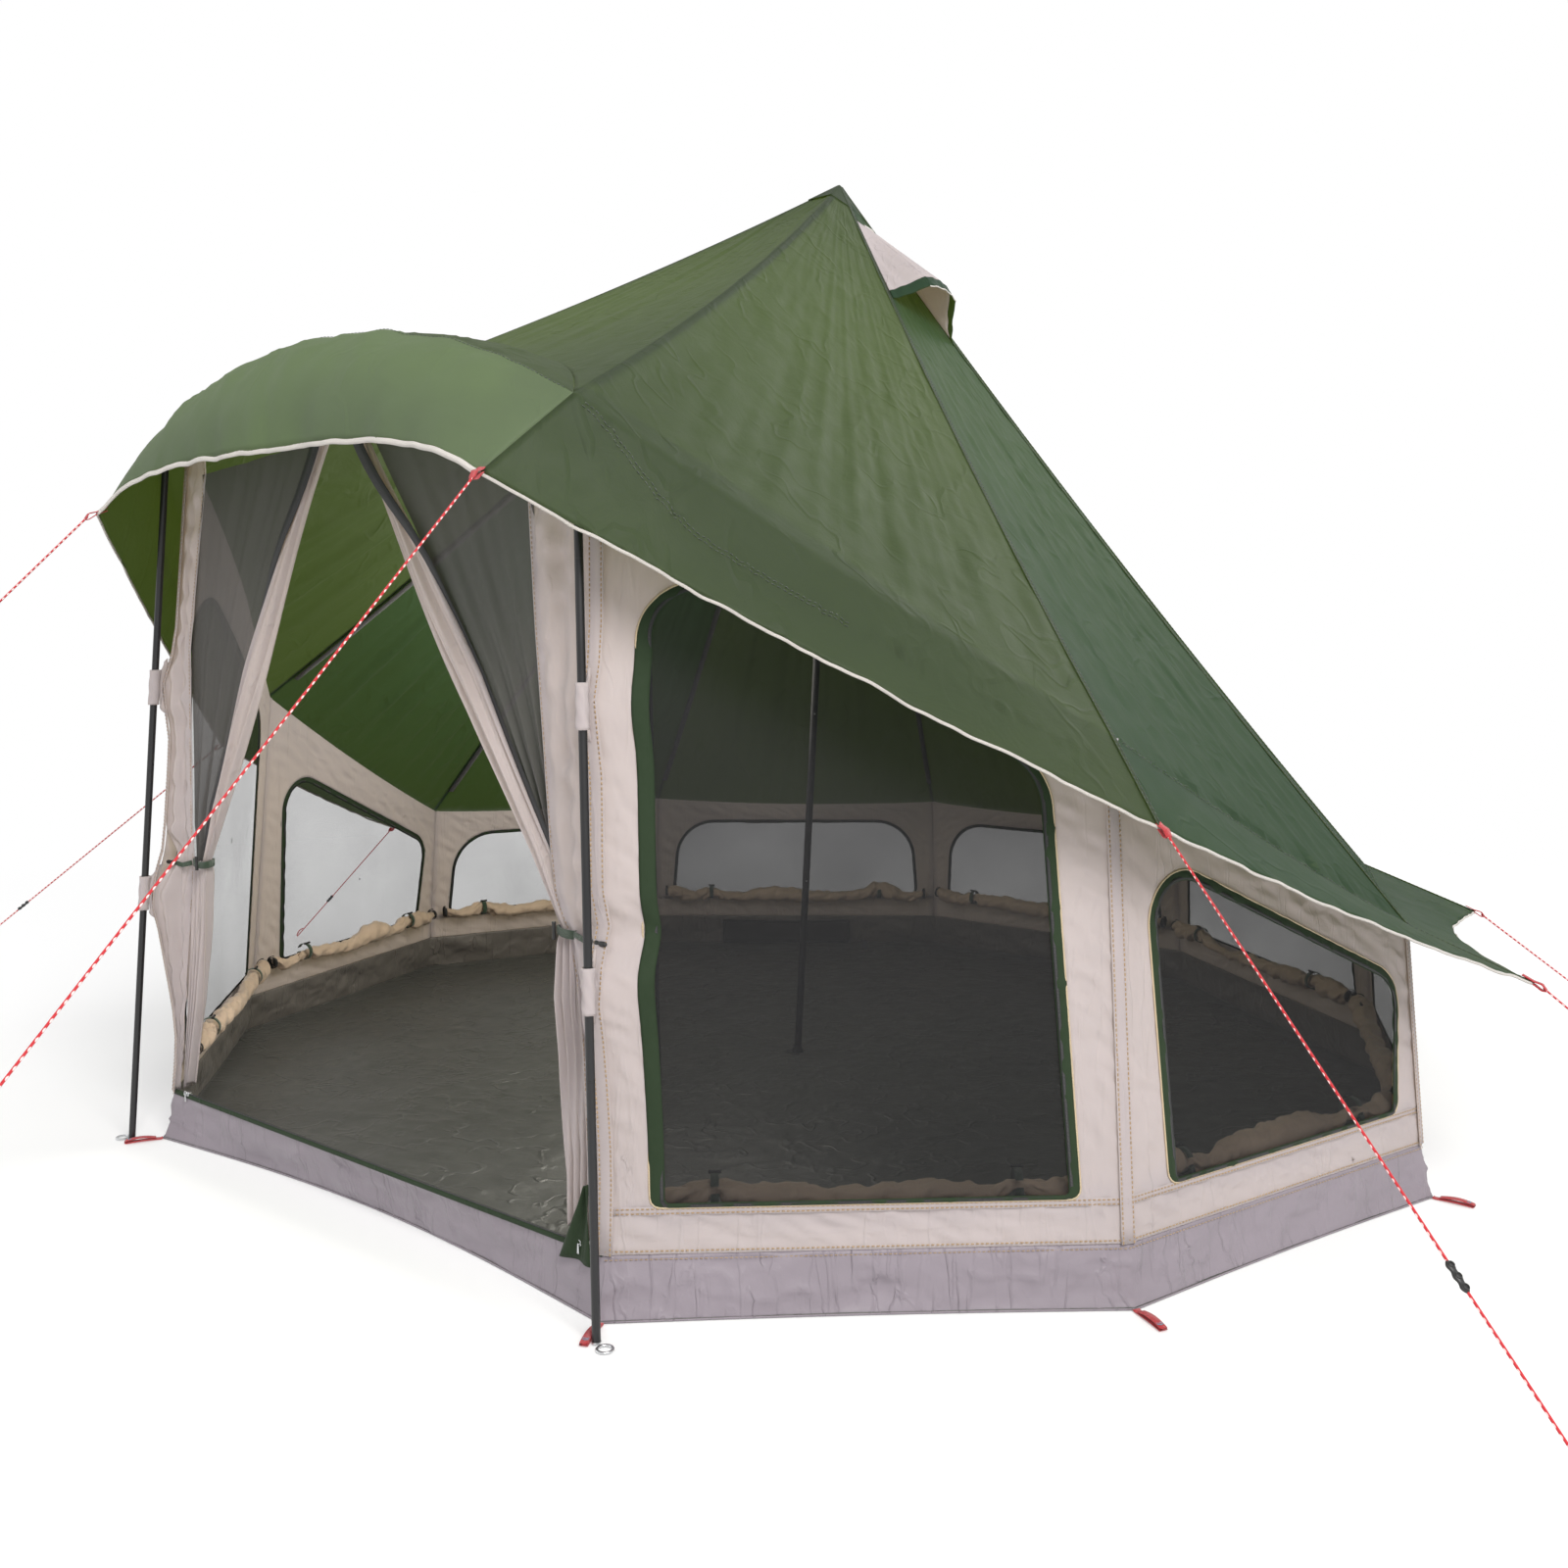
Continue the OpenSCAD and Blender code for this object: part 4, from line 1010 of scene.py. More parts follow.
def build_tie(i, place, number, run):
    """Webbing loop around the roll, sewn to the sill, with a toggle through it on the inside."""
    _, along, up, normal, _, _ = wall_frame(i)
    middle = wall_point(i, [ROLL_END + place * run, SILL_H + 0.027], -ROLL_IN)
    turn = np.linspace(math.radians(100), math.radians(430), 40)
    r = ROLL_R * 0.88
    loop = [middle + r * (np.cos(a) * up * 1.02 + np.sin(a) * normal) for a in turn]
    tail = [loop[0] + normal * 0.004 - up * 0.028]
    path = resample(np.array(tail + loop), 0.006)
    outward = path - middle
    outward = outward - np.outer(outward @ along, along)
    sweep(f"flap_tie_{i}_{number}", [path], flat_profile(0.018, 0.0022), "green_web", [outward],
          replaces=("flap_ties",))
    spot = middle + up * (r + 0.004) - normal * 0.008
    ends = [spot - along * 0.014, spot - along * 0.005, spot, spot + along * 0.005, spot + along * 0.014]
    sweep(f"flap_toggle_{i}_{number}", [resample(ends, 0.003)], round_profile(0.0042, 12), "black_plastic",
          UP, scale=pin_shape)


# ---- Floor and bathtub ----------------------------------------------------------------------------


def build_floor():
    inset = 0.001
    rim = np.array([foot_point(i, s, FOOT_FLARE - inset)[:2] for i in range(CORNERS)
                    for s in np.linspace(0, 0.9, 10)])
    centre = np.zeros(2)
    angles = sorted_angles(centre, 360, rim)
    edge = rays(rim, centre, angles)
    rows = 150
    share = np.linspace(1, 0.004, rows)[:, None, None]
    xy = edge[None] * share
    packed = creases(7, 0.10, 0.9, 20, 0.9)
    small = creases(8, 0.05, 0.3)
    soft = ripples(9, 0.15, 0.7)
    fade = np.minimum(1, (1 - share[..., 0]) * 25)
    z = 0.0030 + fade * (0.0045 * packed(xy[..., 0], xy[..., 1]) + 0.0026 * small(xy[..., 0], xy[..., 1])
                         + 0.0015 * (1 + soft(xy[..., 0], xy[..., 1])))
    points = np.concatenate([xy, z[..., None]], 2)
    obj = sheet("floor", points, "floor", thickness=0, replaces=("groundsheet",), wrap=True,
                uv=wrapped_uv(xy))
    close_rings(obj, xy.shape[1], last=True)
    thicken(obj, 0.0025)


def foot_bow(i, s):
    """How far the foot of wall i is drawn inwards, s of the way along it: most at the unpegged door sill."""
    return (0.075 if i == DOOR_WALL else 0.010) * np.sin(np.pi * s)


def foot_point(i, s, grow):
    place = lerp(corner(i, 0, grow), corner(nxt(i), 0, grow), s)
    return place - foot_bow(i, s) * wall_frame(i)[3] * [1, 1, 0]


def tub_point(i, s, h):
    low = foot_point(i, s, FOOT_FLARE)
    high = lerp(corner(i, TUB_H), corner(nxt(i), TUB_H), s)
    return lerp(low, high, h)


def build_tub():
    steps, rows = 100, 18
    around = [(i, s / steps) for i in range(CORNERS) for s in range(steps)]
    points = np.array([[tub_point(i, s, 1 - r / (rows - 1)) for i, s in around] for r in range(rows)])
    run = np.linspace(0, 1, points.shape[1], endpoint=False) * 12.6
    height = np.linspace(0, TUB_H, rows)[:, None]
    soft = ripples(21, 0.06, 0.3, 75, 0.5)
    sharp = creases(22, 0.06, 0.4, 60, 0.7)
    fade = np.sin(np.pi * np.linspace(0, 1, rows))[:, None] ** 0.7
    drawn = creases(23, 0.03, 0.12, 50, 0.5)
    push = fade * (0.0045 * soft(run[None], height) + 0.0080 * sharp(run[None], height)
                   + 0.0035 * drawn(run[None], height) - 0.005)
    outward = points * [1, 1, 0]
    outward /= np.linalg.norm(outward, axis=2, keepdims=True)
    points = points + outward * push[..., None]
    points[-1, :, 2] = 0.0015
    sheet("bathtub", points, "lilac", thickness=0.0015, replaces=("bathtub_walls",), wrap=True)
    rows_of_thread = []
    for i in range(DOOR_WALL):
        out = unit(wall_frame(i)[3])
        path = np.array([tub_point(i, s / 30, 0.93) + out * 0.0022 for s in range(31)])
        rows_of_thread.append((path, out))
    stitches("bathtub_stitching", rows_of_thread)
    hems = [np.array([tub_point(i, s / 20, 0.02) + unit(wall_frame(i)[3]) * 0.001 for s in range(21)])
            for i in range(CORNERS)]
    sweep("bathtub_hem", hems, flat_profile(0.004, 0.003), "lilac",
          [wall_frame(i)[3] for i in range(CORNERS)])


# ---- Roof -----------------------------------------------------------------------------------------


def roof_normal(i):
    a, b = hip(i, 0.6) - PEAK, hip(nxt(i), 0.6) - PEAK
    return unit(np.cross(a, b))


def roof_grid(i, rows, cols, t_from=0.004, t_to=2.0):
    slope = np.linspace(t_from, 1, rows - 19)
    flare = np.linspace(1, t_to, 20)[1:]
    stops = np.concatenate([slope, flare])
    return stops, np.array([[roof_point(i, s, 1 + (t - 1) * (1 - eave_cut(i, s)) if t > 1 else t)
                             for s in np.linspace(0, 1, cols)] for t in stops])


def eave_cut(i, s):
    """Share of the overhang that is cut away between two corners of the rear wings."""
    if i not in (2, 6):
        return 0.0
    return REAR_CUT * math.sin(math.pi * (s if i == 2 else 1 - s) ** 0.62)


def roof_relief(i, stops, points):
    """Long tension folds down from the peak, soft packing creases and small puckers at the wall seam."""
    normal = roof_normal(i)
    across = unit(hip(nxt(i), 1) - hip(i, 1))
    down = np.cross(normal, across)
    u, v = (points - PEAK) @ across, (points - PEAK) @ down
    s = np.linspace(0, 1, points.shape[1])[None]
    t = np.minimum(stops, 1)[:, None]
    hem = np.clip(stops - 1, 0, 1)[:, None]
    pinned = np.sin(np.pi * s) ** 0.4
    free = pinned * np.clip((1 - t) / 0.10, 0, 1) * np.clip(t / 0.06, 0, 1)
    fan = ripples(200 + i, 0.035, 0.16, 0, 0.12)(s * 0.9, 0.10 * v)
    fine = ripples(220 + i, 0.06, 0.22, 12, 0.25)(u, 0.35 * v)
    packed = creases(240 + i, 0.25, 1.2, 25, 0.9)(u, v)
    tension = 2.2 if i > 4 else 1.0
    if i in (0, 8):
        start = knee(0 if i == 0 else DOOR_WALL) - PEAK
        du, dv = u - start @ across, v - start @ down
        reach = np.hypot(du, dv)
        star = np.sin(19 * np.arctan2(dv, du)) * np.exp(-reach / 0.28) * smooth(reach / 0.10)
        packed = packed + 2.2 * star
    crumple = creases(290 + i, 0.06, 0.30, None)(u, v)
    relief = free * (0.0024 * tension * fan * t + 0.0018 * fine * np.sqrt(t) + 0.0042 * packed
                     + 0.0040 * crumple)
    pucker = ripples(280 + i, 0.022, 0.06, 0, 0.1)(u, 0 * v)
    from_seam = (stops[:, None] - seam_stop(i, s)) / (0.05 if i in (0, 8) else 0.03)
    relief = relief + 0.0045 * pucker * pinned * np.exp(-from_seam ** 2) * (0.35 + 0.65 * (tension < 2))
    wing = 0.004 * ripples(300 + i, 0.16, 0.4, 0, 0.2)(u, 0.3 * v) if i in (2, 6) else 0
    flutter = ripples(260 + i, 0.16, 0.6, 0, 0.2)(u, 0 * v)
    return relief + hem * pinned * (0.0014 * flutter + wing + 0.0022), normal


def seam_stop(i, s):
    """Where the seam of the overhang runs: on the front sides it drops from the knee towards the hem."""
    if i not in (0, 8):
        return 1.0 + 0 * s
    return 1 + 0.5 * smooth((s if i == 0 else 1 - s) / 0.3)


ROOF_NODE = {0: "roof_front_sides", 8: "roof_front_sides", 1: "roof_sides", 7: "roof_sides"}
ROOF_EDGE = {}


def build_roof_sector(i):
    stops, points = roof_grid(i, 112, 90)
    relief, normal = roof_relief(i, stops, points)
    points = points + normal * relief[..., None]
    ROOF_EDGE[i] = points[-1]
    keep = outside_vent(i) if i in (1, 7) else None
    # Sectors 1, 2, 6 and 7 take the copy of the roof cloth with the painted teal sheen.
    material = "roof_painted_sheen" if i in (1, 2, 7, 6) else "roof"
    sheet(f"roof_panel_{i}", points, material, thickness=0.0010,
          replaces=(ROOF_NODE.get(i, "roof_rear"),), keep=keep)
    s = np.linspace(0, 1, points.shape[1])
    rows = []
    for shift in (0.0, 0.04):
        at = seam_stop(i, s) + shift
        line = np.array([[np.interp(at[c], stops, points[:, c, k]) for k in range(3)] for c in range(len(s))])
        sewn = line[s < 0.55] if i == 0 else line[s > 0.45] if i == 8 else line
        rows.append((sewn[2:-2] + normal * 0.0012, normal))
    return rows


def arch_z(x):
    radius = (ARCH_HALF ** 2 + ARCH_RISE ** 2) / (2 * ARCH_RISE)
    return DOOR_TOP[2] + 0.018 + ARCH_RISE - radius + np.sqrt(radius ** 2 - np.asarray(x) ** 2)


FRONT_SLOPE = (PEAK[2] - knee(0)[2]) / (PEAK[1] - knee(0)[1])


def canopy_z(x):
    return arch_z(np.asarray(x) * ARCH_HALF / KNEE_X) + 0.012


def valley(x):
    z = canopy_z(x)
    return np.array([x, PEAK[1] - (PEAK[2] - z) / FRONT_SLOPE, z])


def front_edge(s):
    tip = eave(0)
    return np.array([(2 * s - 1) * tip[0], tip[1], tip[2] + 0.105 * (1 - abs(2 * s - 1) ** 3.7)])


def crown(s):
    """Ridge of the porch over its arch pole; both ends meet the hips at the knees."""
    x = (2 * s - 1) * KNEE_X
    ridge = np.array([x * 0.997, DOOR_TOP[1] - 0.032, float(canopy_z(x))])
    return lerp(knee(DOOR_WALL if s < 0.5 else 0), ridge, min(1, 12 * min(s, 1 - s)))


def build_roof_front():
    rows, cols = 84, 72
    stops = np.linspace(0.004, 1, rows)
    points = np.array([[lerp(PEAK, valley(lerp(-KNEE_X, KNEE_X, s)), t) - UP * HIP_SAG * 4 * t * (1 - t)
                        for s in np.linspace(0, 1, cols)] for t in stops])
    normal = unit(np.cross(knee(9) - PEAK, knee(0) - PEAK))
    u, v = points[..., 0], points[..., 1]
    s = np.linspace(0, 1, cols)[None]
    pinned = (np.sin(np.pi * s) ** 0.5) * np.sin(np.pi * np.clip(stops, 0, 1))[:, None] ** 0.4
    sag = 0.016 * np.sin(np.pi * s) * stops[:, None]
    fan = ripples(301, 0.08, 0.3, 0, 0.3)(u / np.maximum(stops, 0.15)[:, None], 0.3 * v)
    relief = pinned * (0.0022 * fan + 0.0020 * creases(302, 0.2, 0.9, 15, 0.8)(u, v)) - sag
    sheet("roof_front_panel", points + normal * relief[..., None], "roof", thickness=0.0010,
          replaces=("roof_front",))


def build_canopy():
    cols = 110
    back, visor = 26, 30
    across = np.linspace(0, 1, cols)
    points = []
    for r in range(back):
        t = r / back
        row = []
        for s in across:
            a, b = valley((2 * s - 1) * KNEE_X), crown(s)
            a = lerp(knee(DOOR_WALL if s < 0.5 else 0), a, min(1, 12 * min(s, 1 - s)))
            row.append(lerp(a, b, t) + UP * 0.016 * math.sin(math.pi * t) * math.sin(math.pi * s))
        points.append(row)
    for r in range(visor):
        t = r / (visor - 1)
        row = []
        for s in across:
            a, b = crown(s), front_edge(s)
            full = np.array([lerp(a[0], b[0], 0.5), b[1] - 0.006, lerp(a[2], b[2], 0.16)])
            bulge = lerp(lerp(a, b, 0.5), full, math.sin(math.pi * s) ** 0.75)
            row.append((1 - t) ** 2 * a + 2 * t * (1 - t) * bulge + t * t * b)
        points.append(row)
    points = np.array(points)
    normal = -grid_normals(points)
    normal *= np.sign(normal @ np.array([0, -0.5, 1.0]))[..., None]
    u = points[..., 0]
    v = points[..., 1] * 2
    t = np.linspace(0, 1, len(points))[:, None]
    fade = np.sin(np.pi * across)[None] ** 0.5 * np.minimum(1, 8 * t)
    relief = fade * (0.0028 * ripples(321, 0.07, 0.3, 5, 0.3)(u, v) + 0.0035 * creases(322, 0.1, 0.6)(u, v))
    flutter = ripples(323, 0.10, 0.45, 0, 0.2)(u, 0 * v) * np.sin(np.pi * across)[None] ** 0.4
    relief = relief + 0.0065 * flutter * smooth((t - 0.78) / 0.22)
    points = points + normal * relief[..., None]
    cloth = sheet("porch_canopy_cloth", points, "canopy", thickness=0.0010,
                  replaces=("porch_canopy",))
    # The rear slope up to the crown keeps the plain roof cloth; the crown and visor keep the lighter canopy
    # copy, which is painted light.
    cloth.data.materials.append(M["roof"])
    for face in cloth.data.polygons[:(back - 1) * (cols - 1)]:
        face.material_index = 1
    ROOF_EDGE[DOOR_WALL] = points[-1]
    seam = points[back] + UP * 0.001
    return [(seam[3:-3], normal[back, 3:-3])]


def hip_normal(i):
    return unit(roof_normal(i) + roof_normal((i - 1) % CORNERS))


def build_roof_trim(rows):
    """Hip seams, seam threads, cream binding on every free edge, and the tapes inside."""
    seams, facing = [], []
    stops = np.concatenate([np.linspace(0.004, 1, 60), np.linspace(1, 2, 10)[1:]])
    for i in range(1, DOOR_WALL):
        path = np.array([hip(i, t) for t in stops])
        out = hip_normal(i)
        side = unit(np.cross(knee(i) - PEAK, out))
        seams.append(path + out * 0.0012)
        facing.append(out)
        for shift in (-0.0050, 0.0050):
            rows.append((path[4:] + side * shift + out * 0.0018, out))
    sweep("hip_seams", seams, flat_profile(0.015, 0.0016), "roof", facing)
    stitches("roof_stitching", rows, material="dark_stitch", pitch=0.014, wide=0.0014)
    paths, out = [], []
    for i, edge in ROOF_EDGE.items():
        path = resample(edge, 0.014)
        paths.append(path)
        middle = path.mean(0)
        out.append(unit([middle[0], middle[1], 0.9]) if i != DOOR_WALL else np.array([0, -1.0, 0.3]))
    for index, path in enumerate(paths):
        wobble = ripples(400 + index, 0.05, 0.25)(np.arange(len(path)) * 0.014, 0)
        paths[index] = path - UP * 0.003 + UP * 0.0015 * wobble[:, None]
    door_edge = list(ROOF_EDGE).index(DOOR_WALL)
    eaves = [k for k in range(len(paths)) if k != door_edge]
    for name, chosen, width in (("eave_binding_tape", eaves, 0.0065),
                                ("porch_binding_tape", [door_edge], 0.013)):
        sweep(name, [paths[k] for k in chosen], flat_profile(width, 0.003), "cream_trim",
              [out[k] for k in chosen], replaces=("eave_binding",))
    tapes, tape_facing = [], []
    for i in range(CORNERS):
        path = np.array([hip(i, t) - UP * 0.020 for t in np.linspace(0.05, 0.95, 40)])
        tapes.append(path)
        tape_facing.append(hip_normal(i))
    sweep("hip_tape_webbing", tapes, flat_profile(0.022, 0.002), "black_tape", tape_facing,
          replaces=("hip_tapes",))


def build_peak_patch():
    """Reinforcing patch over the peak, a shallow ten-sided cone with rounded folds."""
    rows, cols = 16, 60
    points = []
    for r in range(rows):
        t = lerp(0.001, 0.055, r / (rows - 1))
        ring = []
        for c in range(cols):
            i = (c * CORNERS) // cols
            s = (c * CORNERS / cols) % 1
            ring.append(lerp(hip(i, t), hip(nxt(i), t), s) + UP * 0.0035)
        points.append(ring)
    points = np.array(points)
    points[0] = PEAK - UP * 0.0004 + (points[0] - points[0].mean(0)) * 0.4
    obj = sheet("peak_patch", points, "roof", thickness=0, replaces=("roof_peak_patch",),
                wrap=True)
    close_rings(obj, cols, first=True)
    thicken(obj, 0.0012)


# ---- Roof vents -----------------------------------------------------------------------------------


OPENING_FROM = 0.040            # from the hinge down to the air opening
OPENING_LENGTH = 0.200


def vent_frame(i):
    """Hinge point of the vent on sector i, and its directions: across, down the slope, out of the roof."""
    place = VENT_FROM + 0.1
    top = frame_roof_point(i, 0.5, VENT_FROM)
    down = unit(frame_roof_point(i, 0.5, place) - top)
    out = unit(np.cross(down, frame_roof_point(i, 0.8, place) - frame_roof_point(i, 0.2, place)))
    return top, np.cross(down, out), down, out


def frame_roof_point(i, s, t):
    """The frame's own roof surface, which the vents are set out on."""
    return lerp(hip(i, t), hip(nxt(i), t), s) - UP * PANEL_SAG * 4 * s * (1 - s) * t


def outside_vent(i):
    """Test for points of the roof that are clear of the air opening under vent i."""
    top, across, down, _ = vent_frame(i)

    def keep(p):
        x, y = (p - top) @ across, (p - top) @ down
        y -= OPENING_FROM
        return not (0 < y < OPENING_LENGTH and abs(x) < lerp(0.020, 0.060, y / OPENING_LENGTH))

    return keep


def build_vent(i):
    """Fabric hood of a roof vent: a stiff middle that tilts, and soft cheeks from it down to both hips."""
    side = side_word(side_of(i))
    body = f"vent_hood_{side}"
    top, across, down, out = vent_frame(i)
    hinge = top + out * 0.008
    lid_down = down * math.cos(VENT_OPEN) + out * math.sin(VENT_OPEN)
    lid_out = out * math.cos(VENT_OPEN) - down * math.sin(VENT_OPEN)
    rows, cols = 26, 18
    lid = np.zeros((rows, cols, 3))
    for r in range(rows):
        t = r / (rows - 1)
        half = lerp(0.018, VENT_WIDTH / 2, t)
        for c in range(cols):
            x = 2 * c / (cols - 1) - 1
            lift = 0.012 * t * (1 - x * x) + 0.0012 * math.sin(11 * x + 7 * t + i)
            lid[r, c] = (hinge - across * (x * half) + lid_down * (t * (VENT_LENGTH - VENT_BAND))
                         + lid_out * lift)
    sheet(f"vent_hood_cloth_{side}", lid, "cream", thickness=0.0016, body=body,
          replaces=(f"vent_hood_{side}",))
    hang = lid_down * VENT_BAND - lid_out * 0.012
    brim = np.array([lid[-1] + hang * (k / 5) for k in range(6)])
    # The brim takes the roof cloth with the painted teal sheen of its sector.
    sheet(f"vent_brim_{side}", brim, "roof_painted_sheen", thickness=0.0014, body=body)
    sweep(f"vent_piping_{side}", [brim[-1]], round_profile(0.0022, 8), "cream_trim",
          lid_out, body=body)
    hinge_line = hinge + out * 0.002
    sweep(f"vent_seam_{side}", [resample([hinge_line - across * 0.022, hinge_line + across * 0.022], 0.004)],
          flat_profile(0.012, 0.002), "cream_trim", out)
    for number, column in enumerate((0, -1)):
        edge = lid[:, column]
        sign = np.sign((edge[-1] - top) @ across)
        steps = 14
        cheek = np.zeros((rows, steps, 3))
        for r in range(rows):
            reach = (edge[r] - top) @ down
            roof_t = VENT_FROM + reach / np.linalg.norm(knee(i) - PEAK)
            hips = frame_roof_point(i, 0.0, roof_t), frame_roof_point(i, 1.0, roof_t)
            foot = max(hips, key=lambda p: sign * ((p - top) @ across))
            foot = lerp(frame_roof_point(i, 0.5, roof_t), foot, 0.93) + out * 0.004
            for c in range(steps):
                k = c / (steps - 1)
                t = r / (rows - 1)
                slack = 0.018 * t * math.sin(math.pi * k)
                fold = 0.003 * t * math.sin(5 * math.pi * k + 9 * t) * math.sin(math.pi * k)
                cheek[r, c] = lerp(edge[r], foot, k) - out * (slack + fold) + across * sign * slack * 0.5
        flat = down * (VENT_BAND * 0.8) - out * 0.004
        cheek_lip = np.array([cheek[-1] + lerp(hang, flat, np.linspace(0, 1, steps)[:, None]) * (k / 5)
                              for k in range(6)])
        for part, grid, material, slot in (("cheek", cheek, "cream", "cream_fabric"),
                                           ("cheek_lip", cheek_lip, "roof_painted_sheen", "green_fabric")):
            if part == "cheek" and np.sign(grid_normals(grid)[-1, 2] @ out) <= 0:
                grid = grid[:, ::-1]
            obj = sheet(f"vent_{part}_{side}_{number}", grid, material, thickness=0)
            apply_solid(obj, 0.0012)
            tuple(out)
            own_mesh(obj)
    ring = [(-0.022, 0.038), (0.022, 0.038), (0.063, 0.243), (-0.063, 0.243)]
    border = [top + across * x + down * y + out * 0.002 for x, y in ring + ring[:2]]
    sweep(f"vent_border_{side}", [resample(border, 0.012)], flat_profile(0.022, 0.003), "roof_painted_sheen",
          out)
    n = 14
    net = []
    for r in range(n):
        y = lerp(0.036, 0.245, r / (n - 1))
        half = lerp(0.021, 0.062, r / (n - 1))
        net.append([top + across * lerp(-half, half, c / (n - 1)) + down * y - out * 0.003 for c in range(n)])
    sheet(f"vent_net_{side}", net, "pocket_net", thickness=0, replaces=("vent_meshes",))


def apply_solid(obj, thickness):
    """Gives an open sheet a second layer in its own mesh, for pieces that squash."""
    work = bmesh.new()
    work.from_mesh(obj.data)
    bmesh.ops.solidify(work, geom=list(work.faces), thickness=thickness)
    work.to_mesh(obj.data)
    work.free()


# ---- Door -----------------------------------------------------------------------------------------

DOOR_HEAD = 1.985
NET_OVERLAP = 0.018             # how far the netting runs behind the edge of its pillar
DRAPE = {1: [(0.030, 0.050, 0.00), (0.044, 0.072, 0.23), (0.028, 0.088, 0.42), (0.006, 0.092, 1.0)],
         -1: [(0.028, 0.048, 0.00), (0.015, 0.085, 0.30), (-0.020, 0.100, 0.62), (-0.085, 0.122, 1.0)]}
NET_EDGE = {1: [(0.83, 0.757), (0.90, 0.712), (1.03, 0.700), (1.40, 0.683), (1.93, 0.655)],
            -1: [(0.83, 0.826), (0.94, 0.838), (1.44, 0.785), (1.93, 0.662)]}
PILLAR_EDGE = {1: [(0.15, 0.850), (0.60, 0.800), (0.83, 0.752), (0.90, 0.712), (1.03, 0.700), (1.40, 0.683),
                   (1.93, 0.655)],
               -1: [(0.15, 0.905), (0.60, 0.875), (0.83, 0.838), (0.94, 0.838), (1.44, 0.785), (1.93, 0.662)]}


def along_table(table, h):
    heights, places = zip(*table)
    return np.interp(h, heights, places)


def leaf_depth(q):
    """Place in y of a leaf, q of the way from its head down to its tie."""
    return lerp(LEAF_Y - 0.034, LEAF_Y - 0.002, smooth(q))


def leaf_inner(side, q):
    """Place in x of the free edge of a leaf, which runs almost straight from its head to its tie."""
    return lerp(0.055, TIE_X[side] - 0.026, q) - 0.020 * np.sin(np.pi * q)


def band_width(q):
    return np.interp(q, [0, 0.2, 0.5, 0.85, 1], [0.050, 0.090, 0.108, 0.085, 0.036])


def build_leaf(side):
    """Door leaf tied back to its pillar: netting, the folded band of its free edge, zip and lower drape."""
    name = side_word(side)
    node = (f"door_leaf_{name}",)
    flip = slice(None) if side > 0 else slice(None, None, -1)
    rows, cols = 110, 90
    q = np.linspace(0, 1, rows)[:, None]
    s = np.linspace(0, 1, cols)[None]
    h = lerp(DOOR_HEAD, TIE_H, q)
    inner = leaf_inner(side, q) + 0.8 * band_width(q)
    outer = along_table(NET_EDGE[side], h) + NET_OVERLAP
    gather = 0.25 + 0.75 * q
    folds = np.sin(2 * np.pi * (3.4 * s + 0.2 * np.sin(3 * q)))
    folds = folds + 0.5 * np.sin(2 * np.pi * (7.7 * s - 0.3 * q) + 1)
    x = lerp(inner, np.maximum(outer, inner + 0.012), s)
    y = (leaf_depth(q) + 0.004 + 0.010 * gather * folds * np.sin(np.pi * s) ** 0.5
         + 0.012 * np.sin(np.pi * s) * (1 - q))
    z = h - 0.055 * s * (1 - q) ** 2
    net = np.stack([side * x, y + 0 * x, z + 0 * x], 2)[:, flip]
    sheet(f"door_net_{name}", net, "door_net", thickness=0, replaces=node)

    cols = 40
    s = np.linspace(0, 1, cols)[None]
    width = band_width(q)
    lobes = 0.020 * np.sin(np.pi * s) ** 0.7 + 0.007 * np.sin(2 * np.pi * (2.3 * s + 0.15 * np.sin(5 * q))) \
        + 0.0035 * np.sin(2 * np.pi * (5.2 * s + 0.6 * q))
    x = leaf_inner(side, q) + width * s + 0.006 * np.sin(9 * q + 4 * s)
    y = leaf_depth(q) - lobes * (0.55 + 0.45 * np.sin(np.pi * q))
    z = h - 0.02 * s * (1 - q)
    band = np.stack([side * x, y, z + 0 * x], 2)[:, flip]
    sheet(f"door_band_{name}", band, "cream", thickness=0.0014)

    share = np.linspace(0.01, 0.97, 70)
    x = leaf_inner(side, share) + lerp(0.016, band_width(share), smooth(share / 0.30))
    y = leaf_depth(share) - lerp(0.030, 0.004, smooth(share / 0.45))
    webbing_path = np.stack([side * x, y, lerp(DOOR_HEAD, TIE_H, share)], 1)
    sweep(f"door_zip_{name}", [webbing_path], flat_profile(0.034, 0.0024), "zip", (0, -1, 0),
          scale=lambda t: 1 - 0.52 * smooth(t / 0.4))

    rows, cols = 100, 90
    t = np.linspace(0, 1, rows)[:, None]
    s = np.linspace(0, 1, cols)[None]
    table = np.array(DRAPE[side])
    low = TIE_X[side] - np.interp(t, table[:, 2], table[:, 0])
    high = TIE_X[side] + np.interp(t, table[:, 2], table[:, 1])
    waist = np.exp(-(t / 0.03) ** 2)
    folds = np.sin(2 * np.pi * (4.3 * s + 0.25 * np.sin(2.2 * t + side)) + side) \
        + 0.45 * np.sin(2 * np.pi * (8.9 * s + 0.4 * t))
    x = lerp(low, high, s) + 0.004 * np.cos(2 * np.pi * 4.3 * s + side)
    y = LEAF_Y - 0.004 - 0.018 * t + (0.013 - 0.006 * waist) * folds
    z = lerp(TIE_H + 0.004, TUB_H + 0.012 + 0.012 * np.sin(6 * s), t)
    drape = np.stack([side * x, y, z + 0 * x], 2)[:, flip]
    sheet(f"door_drape_{name}", drape, "cream", thickness=0.0014)


